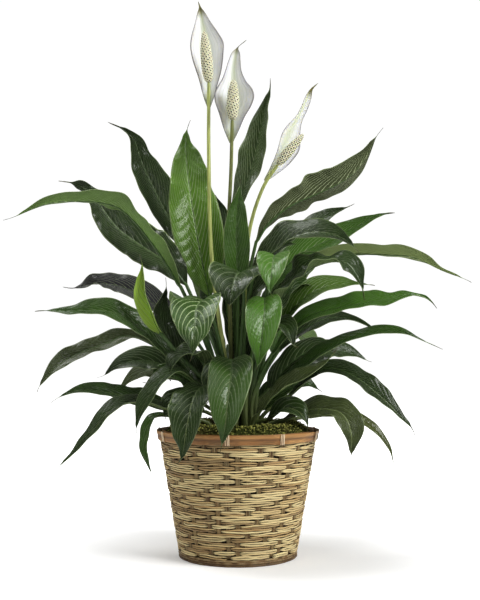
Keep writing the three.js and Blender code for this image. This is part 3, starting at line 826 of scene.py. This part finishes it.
class LILY_OT_hoods(bpy.types.Operator):
    """Draw the white hoods behind the flower spikes"""
    bl_idname = "lily.hoods"
    bl_label = "Hoods"

    def execute(self, context):
        s = context.scene.lily_flowers
        material = hood_material(s)
        for flower in FLOWERS:
            rng = random.Random(flower)
            node = flower + "_spathe"
            obj, t, u = grid_piece(node + "_hood", HOOD_ACROSS, HOOD_ALONG)
            form = blade_form(node, 8, 0)
            points, face, half = on_blade(form, t, u)
            centre = on_blade(form, np.zeros_like(t), u)[0]
            shares, widths, sway = (np.array(row, dtype=float) for row in HOOD_FORMS[flower])
            wanted = half.max() * hermite(shares, widths, u)
            points = centre + (points - centre) * (wanted / np.maximum(half, 0.1 * MM))[:, None]
            points[:, 0] += hermite(shares, sway, u) * MM
            out = np.abs(t)
            phase = rng.uniform(0, FULL_TURN) + (t < 0) * 2.0
            wave = s.hood_ripple * out ** 2 * np.sin(math.pi * u) * np.sin(FULL_TURN * 2.3 * u + phase)
            ribs = -0.25 * MM * (1 + np.cos(math.pi * HOOD_RIBS * t)) / 2 * np.sin(math.pi * u)
            move_vertices(obj.data, points + face * (wave + ribs)[:, None])
            apply_modifier(obj, "SOLIDIFY", thickness=s.hood_thickness, offset=0.0)
            settle(smooth(obj), node, [material])
        return {"FINISHED"}


SHADED = {"flower_middle": 0.45}    # how dark a stalk stands in the shade of the leaves


class LILY_OT_stalks(bpy.types.Operator):
    """Draw the flower stalks"""
    bl_idname = "lily.stalks"
    bl_label = "Flower stalks"

    def execute(self, context):
        s = context.scene.lily_flowers
        for flower in FLOWERS:
            node = flower + "_stalk"
            material = stem_material(node, scaled(s.stalk, SHADED.get(flower, 1.0)))
            table, tip = rings_of(node, 8)
            middle = table.mean(axis=1)
            girth = np.linalg.norm(table - middle[:, None], axis=2).mean(axis=1)
            at = np.linspace(0, 1, 70)
            path = through(middle, at)
            radii = np.interp(at, np.linspace(0, 1, len(girth)), girth)
            radii = np.append(radii, radii[-1] * 0.8)
            obj = stem_tube(node + "_stem", np.vstack([path, tip]), radii, sides=5)
            settle(smooth(obj), node, [material])
        return {"FINISHED"}


def spike_axis(node):
    """Foot, tip and greatest radius of a club-shaped solid."""
    co = coordinates(NODES[node].data)
    middle = co.mean(axis=0)
    _, _, ways = np.linalg.svd(co - middle, full_matrices=False)
    way = ways[0] * (1 if ways[0][2] > 0 else -1)
    along = (co - middle) @ way
    off = np.linalg.norm(co - middle - np.outer(along, way), axis=1)
    return middle + way * along.min(), middle + way * along.max(), off.max()


class LILY_OT_spikes(bpy.types.Operator):
    """Draw the flower spikes, floret by floret"""
    bl_idname = "lily.spikes"
    bl_label = "Flower spikes"

    def execute(self, context):
        s = context.scene.lily_flowers
        material = spike_material(s)
        for flower in FLOWERS:
            node = flower + "_spadix"
            foot, tip, girth = spike_axis(node)
            obj = primitive(node + "_spike", bpy.ops.mesh.primitive_uv_sphere_add, segments=SPIKE_AROUND,
                            ring_count=SPIKE_ALONG, radius=1)
            co = coordinates(obj.data)
            turn = np.arctan2(co[:, 1], co[:, 0])
            share = np.arccos(np.clip(-co[:, 2], -1, 1)) / math.pi
            tall = np.linalg.norm(tip - foot)
            club = girth * np.clip(np.sin(math.pi * share ** 0.8), 0, 1) ** 0.42 * (1 - 0.12 * share)
            count = int(2 * math.pi * girth * 0.86 * tall / (s.floret ** 2 * 0.87))
            number = np.arange(count)
            dv = (share[:, None] - (number + 0.5) / count) * tall
            dt = (turn[:, None] - number * GOLDEN_ANGLE + math.pi) % (2 * math.pi) - math.pi
            away = np.sqrt(dv ** 2 + (dt * girth * 0.9) ** 2).min(axis=1) / (0.56 * s.floret)
            dome = np.sqrt(np.clip(1 - away ** 2, 0, 1))
            dent = -0.35 * np.exp(-(away / 0.25) ** 2)
            full = np.clip(club / girth * 1.4, 0, 1)
            radius = club + (0.34 * s.floret * (dome + dent) - 0.2 * s.floret) * full
            way = (tip - foot) / tall
            one = unit(np.cross(way, (0.0, 1.0, 0.0)))
            two = np.cross(way, one)
            places = (foot + np.outer(share * tall, way)
                      + radius[:, None] * (np.outer(np.cos(turn), one) + np.outer(np.sin(turn), two)))
            move_vertices(obj.data, places)
            add_values(obj, centre=np.clip(1 - away, 0, 1))
            settle(smooth(obj), node, [material])
        return {"FINISHED"}


# ------------------------------------------------------------------ basket
HOOP_STEPS = 256               # the most that a torus primitive takes
STRAND_SIDES = 7
ROW_STRANDS = 2
STRAND_INSET = 1.3 * MM        # from the wall's face to a strand's middle
STRAND_BULGE = 0.9 * MM        # how far a strand swells out between two dips
STRAND_DIP = 2.6 * MM          # how far it goes in where it passes behind a stake
STAKE_INSET = 2.2 * MM
STAKE_RADIUS = 0.95 * MM
STAKE_LANE = 0.0205            # radians between the three rods of a stake
CANE_THICKNESS = 2.2 * MM
LASHINGS = 9
FIRST_LASHING = -97            # degrees, as the next two
LASHING_GAP = 38
LASH_LANE = 1.15               # between the three turns of a lashing
LASH_RADIUS = 0.7 * MM


def strand_material(name, light, dark, gap, gloss=0.5):
    """Straw or split cane: light and dark lengths, fine streaks along it, and shade deep in the weave."""
    material, b, shader = new_material(name, Specular_IOR_Level=0.35, Coat_Weight=0.08, Coat_Roughness=0.4)
    run, girth, tone, deep = map(b.attribute, ("run", "girth", "tone", "deep"))
    uv = b.node("ShaderNodeCombineXYZ", i0=run, i1=girth, i2=b.times(tone, 9.0)).outputs[0]
    fibre = use_group(b, "fibre", UV=uv, Length=26.0, Width=5.5)
    amber = (light[0] * 0.6, light[1] * 0.46, light[2] * 0.34)
    body = b.mix(b.span(tone, 0.0, 0.45), dark, amber)
    body = b.mix(b.span(tone, 0.3, 0.8), body, light)
    between, along = b.mix(0.5, body, dark), b.mix(0.3, body, scaled(light, 1.15))
    body = b.mix(b.span(fibre["Streak"], 0.36, 0.68), between, along)
    body = b.tint(body, fibre["Blotch"], 0.3, amber)
    body = b.tint(body, deep, 0.93, gap)
    dress(b, shader, body, fibre["Streak"], 0.3 * MM,
          b.span(fibre["Streak"], 0.3, 0.7, gloss - 0.08, gloss + 0.14))
    return material


def wall_slope():
    """Outside radius of the frame's own wall at its foot, and how fast it widens upwards."""
    co = coordinates(NODES["basket_wall"].data)
    reach = np.hypot(co[:, 0], co[:, 1])
    low = reach[co[:, 2] < WALL_LOW.z + MM].max()
    high = reach[co[:, 2] > WALL_HIGH.z - MM].max()
    return low, (high - low) / (WALL_HIGH.z - WALL_LOW.z)


WALL_FOOT, WALL_LEAN = wall_slope()


def wall_radius(z):
    """Outside of the wall at a height."""
    return WALL_FOOT + WALL_LEAN * (z - WALL_LOW.z)


def hoop_piece(name, steps, sides):
    """A torus primitive, and the turn and the section angle of its vertices."""
    obj = primitive(name, bpy.ops.mesh.primitive_torus_add, major_segments=steps, minor_segments=sides)
    turn = np.repeat(np.arange(steps) / steps, sides)
    angle = np.tile(np.arange(sides) * 2 * math.pi / sides, steps)
    return obj, turn, angle


def place_hoop(obj, turn, radius, height):
    """Puts the vertices round the vertical axis; the seam is at the back."""
    azimuth = math.pi / 2 + 2 * math.pi * turn
    move_vertices(obj.data, np.stack([radius * np.cos(azimuth), radius * np.sin(azimuth), height], axis=1))


def round_noise(turn, reach, layer):
    """Noise that closes on itself after one turn."""
    return np.array([noise.noise((math.cos(math.tau * t) * reach, math.sin(math.tau * t) * reach, layer))
                     for t in turn])


def crossings(stakes, rng, taken):
    """Stakes that one row passes behind: three to five apart, and seldom those of the row below."""
    found = [rng.randrange(4)]
    while found[-1] < stakes - 4:
        steps = [step for step in (3, 4, 4, 5, 6) if found[-1] + step not in taken]
        found.append(found[-1] + rng.choice(steps or (3,)))
    return [k for k in found if k < stakes - 1]


def weave_row(row, count, s, pitch, below, rng):
    """The strands of one row, which swell over the stakes and pinch together where they pass behind."""
    made = []
    behind = crossings(s.stakes, rng, below)
    marks = np.array([behind[-1] - s.stakes, *behind, behind[0] + s.stakes], dtype=float)
    tilts, swells, tones = (np.array([rng.uniform(low, high) for _ in marks])
                            for low, high in ((-1, 1), (0.86, 1.1), (0, 1)))
    middle = WALL_LOW.z + (row + 0.5) * pitch
    for strand in range(count):
        obj, turn, angle = hoop_piece(f"strand_{row}_{strand}", HOOP_STEPS, STRAND_SIDES)
        at = turn * s.stakes
        k = np.clip(np.searchsorted(marks, at, side="right") - 1, 0, len(marks) - 2)
        share = (at - marks[k]) / (marks[k + 1] - marks[k])
        dip = 1 - ease(np.abs(at[:, None] - marks).min(axis=1) / 0.5)
        number = k % len(behind)
        lean = tilts[number] * (share - 0.5) * pitch * 0.3
        plump = np.clip(np.sin(math.pi * share), 0, 1) ** 0.6
        side = (strand - (count - 1) / 2) * pitch / count * (0.66 + 0.34 * plump)
        wander = np.array([noise.noise((a * 0.9, row * 7.3, strand * 3.1)) for a in at])
        height = middle + side * (1 - 0.6 * dip) + lean * (1 - dip) + wander * pitch * 0.22
        own = np.array([rng.uniform(-0.35, 0.35) for _ in marks])[number]
        tall = pitch / count * 0.49 * swells[number] * (0.7 + 0.3 * plump)
        bulge = STRAND_BULGE * np.sin(math.pi * share) * (1 - dip)
        centre = wall_radius(height) - STRAND_INSET + bulge - STRAND_DIP * dip + wander * 0.4 * MM
        z = height + tall * np.sin(angle)
        place_hoop(obj, turn, centre + s.strand_thickness * 0.62 * np.cos(angle), z)
        # Lighter towards the front right and darker towards the back left: painted light and shade from the
        # side of the key lamp.
        painted_side_light = 0.16 * np.cos(2 * math.pi * turn + math.radians(130))
        # deep marks painted shade: where the strand passes behind a stake, and along its top, bottom and
        # back.
        add_values(obj, run=turn * 2 * math.pi * 0.1 + row + 0.37 * strand, girth=np.abs(np.sin(angle / 2)),
                   tone=np.clip(0.05 + 0.95 * tones[number] + own + painted_side_light, 0, 1),
                   deep=np.clip(dip * 0.9 + 0.9 * (1 - np.cos(angle)) ** 1.15, 0, 1))
        made.append(obj)
    return made, set(behind)


def copies(name, source, matrices):
    """One mesh with a copy of a primitive's mesh for every matrix; the primitive is then removed."""
    co = coordinates(source.data)
    corners = np.array([tuple(face.vertices) for face in source.data.polygons])
    turned = np.einsum("nij,vj->nvi", matrices[:, :3, :3], co) + matrices[:, None, :3, 3]
    faces = corners[None] + (np.arange(len(matrices)) * len(co))[:, None, None]
    mesh = bpy.data.meshes.new(name)
    mesh.from_pydata(turned.reshape(-1, 3), [], faces.reshape(-1, corners.shape[1]).tolist())
    bpy.data.objects.remove(source)
    obj = bpy.data.objects.new(name, mesh)
    bpy.context.scene.collection.objects.link(obj)
    return obj, len(co)


def frames(seats):
    """A matrix for each seat: its place, the way of its local z, its sizes and its spin."""
    found = []
    for place, way, size, spin in seats:
        turn = Vector(way).to_track_quat("Z", "Y").to_matrix() @ Matrix.Rotation(spin, 3, "Z")
        rows = np.column_stack([np.array(turn) * np.array(size), place])
        found.append(np.vstack([rows, (0, 0, 0, 1)]))
    return np.array(found)


def stick():
    """A closed round stick, one unit tall and one unit in radius."""
    obj = primitive("stick", bpy.ops.mesh.primitive_ico_sphere_add, subdivisions=2, radius=1)
    co = coordinates(obj.data)
    flat = unit(co[:, :2]) * np.minimum(1, 1.9 * np.linalg.norm(co[:, :2], axis=1))[:, None]
    move_vertices(obj.data, np.column_stack([flat, flattened(co[:, 2], 0.35) * 0.5]))
    return obj


def lay_sticks(name, seats, rng, tones, deep, material):
    """One piece of sticks, each with a tone of its own."""
    obj, each = copies(name, stick(), frames(seats))
    add_values(obj, run=coordinates(obj.data)[:, 2] * 1.2,
               girth=np.repeat([rng.random() for _ in seats], each),
               tone=np.repeat([rng.uniform(*tones) for _ in seats], each), deep=deep)
    settle(smooth(obj), None, [material])


class LILY_OT_weave(bpy.types.Operator):
    """Weave the basket's wall, row by row, round its stakes"""
    bl_idname = "lily.weave"
    bl_label = "Woven wall"

    def execute(self, context):
        s = context.scene.lily_basket
        rng = random.Random(12)
        pitch = (BAND_LOW.z + 2 * MM - WALL_LOW.z) / s.rows
        strands, below = [], set()
        for row in range(s.rows):
            made, below = weave_row(row, ROW_STRANDS, s, pitch, below, rng)
            strands += made
        straw = strand_material("straw", tuple(s.straw), tuple(s.straw_dark), (0.012, 0.006, 0.003))
        settle(joined("woven_wall", *strands), "basket_wall", [straw])
        seats = []
        for stake in range(s.stakes):
            for lane in (-1, 0, 1):
                azimuth = math.pi / 2 + 2 * math.pi * stake / s.stakes + lane * STAKE_LANE
                out = np.array([math.cos(azimuth), math.sin(azimuth), 0])
                foot, head = (out * (wall_radius(z) - STAKE_INSET) + (0, 0, z)
                              for z in (WALL_LOW.z, WALL_HIGH.z))
                size = (STAKE_RADIUS, STAKE_RADIUS, np.linalg.norm(head - foot))
                seats.append(((foot + head) / 2, head - foot, size, rng.uniform(0, 3)))
        # Stakes in low tones with half shade: painted shade in the openings between the strands.
        lay_sticks("stakes", seats, rng, (0.0, 0.45), 0.5, straw)
        return {"FINISHED"}


def band(name, low, high, outer, thick, seam):
    """A flat split-cane hoop between two heights; its end laps over its start at the seam."""
    obj, turn, angle = hoop_piece(name, HOOP_STEPS, 24)
    up = flattened(np.sin(angle), 0.6)
    groove = np.exp(-((up + 0.05) / 0.2) ** 2)
    across = np.sign(np.cos(angle)) * (np.abs(np.cos(angle)) ** 0.35 - 0.5 * groove)
    z = (low + high) / 2 + up * (high - low) / 2
    lap = ((turn - seam) % 1) ** 12
    wander = round_noise(turn, 2, 5.0)
    radius = outer + (across - 1) * thick / 2 + lap * 0.8 * MM + wander * 0.3 * MM
    place_hoop(obj, turn, radius - (high - z) * WALL_LEAN, z + wander * 0.25 * MM)
    # deep marks painted shade along the band's top and bottom edges and in the groove between its two canes.
    add_values(obj, run=turn * 0.68 + outer * 10, girth=((angle / math.pi + 1) % 2 - 1) * 2.5,
               tone=np.clip(0.5 + 0.9 * wander + 0.2 * np.sign(up), 0, 1),
               deep=np.maximum(0.6 * (np.abs(up) > 0.92), 0.75 * groove))
    return smooth(obj)


class LILY_OT_rim(bpy.types.Operator):
    """Bend the split-cane bands round the rim and lash them"""
    bl_idname = "lily.rim"
    bl_label = "Rim bands"

    def execute(self, context):
        s = context.scene.lily_basket
        cane = strand_material("cane", tuple(s.cane), scaled(s.cane, 0.28), (0.04, 0.016, 0.008), 0.4)
        for node, seam in (("rim_band_outer", 0.44), ("rim_band_inner", 0.9)):
            low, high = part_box(node)
            settle(band(node + "_cane", low.z, high.z, high.x, CANE_THICKNESS, seam), node, [cane])
        rng = random.Random(7)
        seats = []
        tall = BAND_HIGH.z - BAND_LOW.z
        for lash in range(LASHINGS):
            for lane in (-1, 0, 1):
                azimuth = math.radians(FIRST_LASHING + LASHING_GAP * lash + lane * LASH_LANE)
                azimuth += rng.uniform(-0.004, 0.004)
                out = np.array([math.cos(azimuth), math.sin(azimuth), 0])
                place = out * (BAND_HIGH.x + 0.8 * MM - WALL_LEAN * tall / 2)
                way = out * WALL_LEAN + (rng.uniform(-0.04, 0.04), 0, 1)
                seats.append((place + (0, 0, (BAND_LOW.z + BAND_HIGH.z) / 2), way,
                              (LASH_RADIUS, LASH_RADIUS, tall + 1.5 * MM), 0.0))
        pale = strand_material("lashing_cane", (0.95, 0.82, 0.6), (0.3, 0.13, 0.06),
                               (0.05, 0.018, 0.008), 0.4)
        lay_sticks("lashings", seats, rng, (0.5, 1.0), 0.0, pale)
        return {"FINISHED"}


class LILY_OT_foot(bpy.types.Operator):
    """Lay the three strands that the basket stands on"""
    bl_idname = "lily.foot"
    bl_label = "Foot hoop"

    def execute(self, context):
        s = context.scene.lily_basket
        made = []
        tall = HOOP_HIGH.z - HOOP_LOW.z
        for strand in range(3):
            obj, turn, angle = hoop_piece(f"foot_{strand}", HOOP_STEPS, 8)
            sway = round_noise(turn, 9, strand)
            z = HOOP_LOW.z + tall * ((strand + 0.5) / 3 + 0.19 * np.sin(angle))
            radius = HOOP_HIGH.x - 2.2 * MM + sway * 0.9 * MM + 1.6 * MM * np.cos(angle)
            place_hoop(obj, turn, radius, z + (strand > 0) * sway * 0.7 * MM)
            # The lowest strand darkest, and each strand dark at its back and edges: painted shade along the
            # basket's bottom edge.
            add_values(obj, run=turn * 0.5 + strand, girth=angle / math.pi,
                       tone=np.clip(0.2 + 0.15 * strand + sway * 0.8, 0, 1),
                       deep=np.where(np.cos(angle) < 0.5, 0.9, 0.6 - 0.2 * strand))
            made.append(obj)
        # Darker straw than the wall's: painted shade at the foot.
        straw = strand_material("foot_straw", blend(s.straw, s.straw_dark, 0.55), scaled(s.straw_dark, 0.6),
                                (0.03, 0.012, 0.006))
        settle(joined("foot_strands", *made), "foot_hoop", [straw])
        return {"FINISHED"}


# ------------------------------------------------------------------ moss and what fills the pot
def grain_material(name, tones, scale, relief):
    """Loose, crumbly stuff in three tones."""
    material, b, shader = new_material(name, Roughness=0.95, Specular_IOR_Level=0.15)
    place = b.place()
    cloud = use_group(b, "mottle", Position=place, Broad=scale * 0.2, Close=scale)
    body = b.mix(cloud["Broad"], tones[0], tones[1])
    body = b.tint(body, cloud["Close"], 0.6, tones[2])
    dress(b, shader, body, b.noise(place, scale * 3, 5.0, 0.7), relief)
    return material


def moss_material(s):
    material, b, shader = new_material("moss", Roughness=0.9, Specular_IOR_Level=0.15)
    place = b.place()
    tone = b.attribute("tone")
    cloud = use_group(b, "mottle", Position=place, Broad=30.0, Close=300.0)
    body = b.mix(cloud["Broad"], tuple(s.green), tuple(s.straw))
    # Low tufts and the bed darker, the highest tufts pale: painted shade and painted highlight, by how high
    # each tuft stands.
    body = b.mix(tone, scaled(s.green, 0.3), body)
    body = b.mix(b.span(tone, 0.78, 1.0), body, blend(scaled(s.straw, 2.0), scaled(s.green, 2.4), 0.5))
    dress(b, shader, body, b.noise(place, 1800.0, 3.0), 0.3 * MM)
    return material


MOSS_INSIDE = CROWN_HIGH.x + 0.6 * MM
MOSS_OUTSIDE = MOSS_HIGH.x - 0.5 * MM
MOUND = 9 * MM
LUMP = 3 * MM
LUMP_SCALE = 40                # lumps in a metre, near enough


def moss_rise(reach, azimuth):
    """How high the moss stands at a place: a mound between crown and rim, with lumps on it."""
    far = reach * LUMP_SCALE
    lump = noise.noise((far * math.cos(azimuth), far * math.sin(azimuth), 1.0))
    across = min(1.0, max(0.0, (MOSS_OUTSIDE - reach) / (MOSS_OUTSIDE - MOSS_INSIDE)))
    return MOUND * math.sin(math.pi * across) ** 1.3 + lump * LUMP


class LILY_OT_moss(bpy.types.Operator):
    """Pack moss round the crown, tuft by tuft"""
    bl_idname = "lily.moss"
    bl_label = "Moss"

    def execute(self, context):
        s = context.scene.lily_moss
        rng = random.Random(5)
        bed, turn, angle = hoop_piece("moss_bed", 240, 28)
        out, up = flattened(np.cos(angle), 0.5), flattened(np.sin(angle), 0.5)
        radius = (MOSS_INSIDE + MOSS_OUTSIDE) / 2 + out * (MOSS_OUTSIDE - MOSS_INSIDE) / 2
        base = MOSS_HIGH.z - 13 * MM
        top = MOSS_HIGH.z - 1.5 * MM
        rises = np.array([moss_rise(r, math.tau * t) for r, t in zip(radius, turn)])
        height = (base + top) / 2 + up * (top - base) / 2 + (rises - MM) * (up > 0)
        place_hoop(bed, turn, radius, height)
        # The bed takes a low tone: painted shade beneath the tufts.
        add_values(bed, tone=0.3)
        seats, tones = [], []
        for _ in range(s.tufts * 2):
            azimuth = rng.uniform(0, 2 * math.pi)
            reach = math.sqrt(rng.uniform((MOSS_INSIDE - 3 * MM) ** 2, MOSS_OUTSIDE ** 2))
            edge = min(1.0, (MOSS_OUTSIDE - reach) / (6 * MM))
            lift = rng.uniform(-1.5, 2.6) * MM
            z = top + lift + moss_rise(reach, azimuth - math.pi / 2) - (1 - edge) * 3.5 * MM
            way = (rng.uniform(-1, 1), rng.uniform(-1, 1), rng.uniform(-0.5, 0.9))
            size = s.tuft * rng.uniform(0.5, 1.2)
            seats.append(((reach * math.cos(azimuth), reach * math.sin(azimuth), z), way,
                          (size * 0.34, size * 0.34, size), 0.0))
            # Tone rises with a tuft's height: painted light on high tufts, painted shade on low ones.
            tones.append(min(1.0, max(0.0, 0.5 + lift / (4 * MM) + rng.uniform(-0.35, 0.35))))
        seed = primitive("tuft", bpy.ops.mesh.primitive_ico_sphere_add, subdivisions=1, radius=1)
        tufts, each = copies("moss_tufts", seed, frames(seats))
        add_values(tufts, tone=np.repeat(tones, each))
        joined("moss_bed", bed, tufts)
        settle(bed, "moss_topping", [moss_material(s)])
        return {"FINISHED"}


class LILY_OT_inner(bpy.types.Operator):
    """Give the pieces that stay as they are their own finishes"""
    bl_idname = "lily.inner"
    bl_label = "Pot, soil, crown and base"

    def execute(self, context):
        s = context.scene.lily_basket
        soil = ((0.03, 0.018, 0.01), (0.07, 0.042, 0.024), (0.012, 0.008, 0.005))
        crown = ((0.06, 0.06, 0.018), (0.14, 0.13, 0.04), (0.025, 0.02, 0.01))
        straw = (tuple(s.straw_dark), scaled(s.straw, 0.7), scaled(s.straw_dark, 0.5))
        looks = {"potting_mix": grain_material("potting_mix", soil, 220.0, 1.2 * MM),
                 "root_crown": grain_material("root_crown", crown, 160.0, 2.0 * MM),
                 "basket_base": grain_material("basket_base", straw, 90.0, 0.8 * MM),
                 "nursery_pot": plastic_material("pot_plastic", (0.018, 0.02, 0.018)),
                 "plastic_liner": plastic_material("liner_plastic", (0.02, 0.012, 0.008))}
        for node, material in looks.items():
            NODES[node].data.materials.clear()
            NODES[node].data.materials.append(material)
        return {"FINISHED"}


def plastic_material(name, base):
    """Dark plastic with faint scuffs and dust."""
    material, b, shader = new_material(name, Specular_IOR_Level=0.4)
    place = b.place()
    cloud = use_group(b, "mottle", Position=place, Broad=20.0, Close=260.0)
    dress(b, shader, b.tint(base, cloud["Close"], 0.3, scaled(base, 3.0)), b.noise(place, 500.0, 3.0),
          0.1 * MM, b.span(cloud["Close"], 0.0, 1.0, 0.4, 0.65))
    return material


# ------------------------------------------------------------------ stage
# Name, place, size and power of each lamp, and the point that they face.
LAMPS = (("key", (1.8, -1.2, 1.8), 1.2, 68.0), ("fill", (-1.8, -1.6, 1.2), 1.4, 6.0),
         ("top", (-0.9, 0.2, 2.2), 1.3, 42.0))
LIT_POINT = Vector((0, 0, 0.4))
BACKDROP = 1.02                # brightness behind the plant
CAMERA_X = 2.8 * MM


class LILY_OT_stage(bpy.types.Operator):
    """Lay the floor and set the lights and the camera"""
    bl_idname = "lily.stage"
    bl_label = "Stage"

    def execute(self, context):
        s = context.scene.lily_stage
        floor = primitive("floor", bpy.ops.mesh.primitive_plane_add, size=30)
        material, b, shader = new_material("floor_white", Roughness=0.9, Specular_IOR_Level=0.1)
        place = b.place()
        b.feed(shader.inputs["Base Color"], b.mix(b.noise(place, 3.0), (0.88, 0.88, 0.88), (0.9, 0.9, 0.9)))
        seen = b.node("ShaderNodeLightPath").outputs["Is Camera Ray"]
        reach = b.node("ShaderNodeVectorMath", {"operation": "LENGTH"}, i0=place).outputs["Value"]
        shader.inputs["Emission Color"].default_value = (1, 1, 1, 1)
        b.feed(shader.inputs["Emission Strength"], b.times(seen, b.span(reach, 0.16, 0.5, 0.12, 1.0)))
        floor.data.materials.append(material)
        for name, place, size, energy in LAMPS:
            lamp = bpy.data.lights.new(name, "AREA")
            lamp.size = size
            lamp.energy = energy
            obj = bpy.data.objects.new(name, lamp)
            context.scene.collection.objects.link(obj)
            obj.location = place
            obj.rotation_euler = (LIT_POINT - obj.location).to_track_quat("-Z", "Y").to_euler()
        world = bpy.data.worlds.new("studio")
        context.scene.world = world
        world.use_nodes = True
        b = Board(world.node_tree)
        sky = world.node_tree.nodes["Background"]
        sky.inputs["Color"].default_value = (1, 1, 1, 1)
        seen = b.node("ShaderNodeLightPath").outputs["Is Camera Ray"]
        b.feed(sky.inputs["Strength"], b.math("MULTIPLY_ADD", seen, BACKDROP - s.surround, s.surround))
        context.scene.view_settings.view_transform = "Standard"
        context.scene.view_settings.gamma = 0.88
        camera = bpy.data.cameras.new("camera")
        camera.lens = s.lens
        eye = bpy.data.objects.new("camera", camera)
        context.scene.collection.objects.link(eye)
        eye.location = (CAMERA_X, -s.distance, s.height)
        eye.rotation_euler = (math.pi / 2 + s.pitch, 0, 0)
        context.scene.camera = eye
        return {"FINISHED"}


class LILY_PT_panel(bpy.types.Panel):
    """Lists the pieces of the lily and their sizes"""
    bl_idname = "LILY_PT_panel"
    bl_label = "Peace Lily"
    bl_space_type = "VIEW_3D"
    bl_region_type = "UI"
    bl_category = "Peace Lily"

    def draw(self, context):
        for operator in OPERATORS:
            self.layout.operator(operator.bl_idname)
        for key, group in GROUPS.items():
            box = self.layout.box()
            for prop in group.__annotations__:
                box.prop(getattr(context.scene, key), prop)


OPERATORS = [cls for cls in bpy.types.Operator.__subclasses__() if cls.__name__.startswith("LILY_OT")]


def register():
    for cls in (*GROUPS.values(), *OPERATORS, LILY_PT_panel):
        bpy.utils.register_class(cls)
    for key, group in GROUPS.items():
        setattr(bpy.types.Scene, key, PointerProperty(type=group))


def unregister():
    for key in GROUPS:
        delattr(bpy.types.Scene, key)
    for cls in reversed((*GROUPS.values(), *OPERATORS, LILY_PT_panel)):
        bpy.utils.unregister_class(cls)


def main():
    register()
    bpy.ops.lily.leaves()
    bpy.ops.lily.hoods()
    bpy.ops.lily.stalks()
    bpy.ops.lily.spikes()
    bpy.ops.lily.weave()
    bpy.ops.lily.rim()
    bpy.ops.lily.foot()
    bpy.ops.lily.moss()
    bpy.ops.lily.inner()
    bpy.ops.lily.stage()


if __name__ == "__main__":
    main()
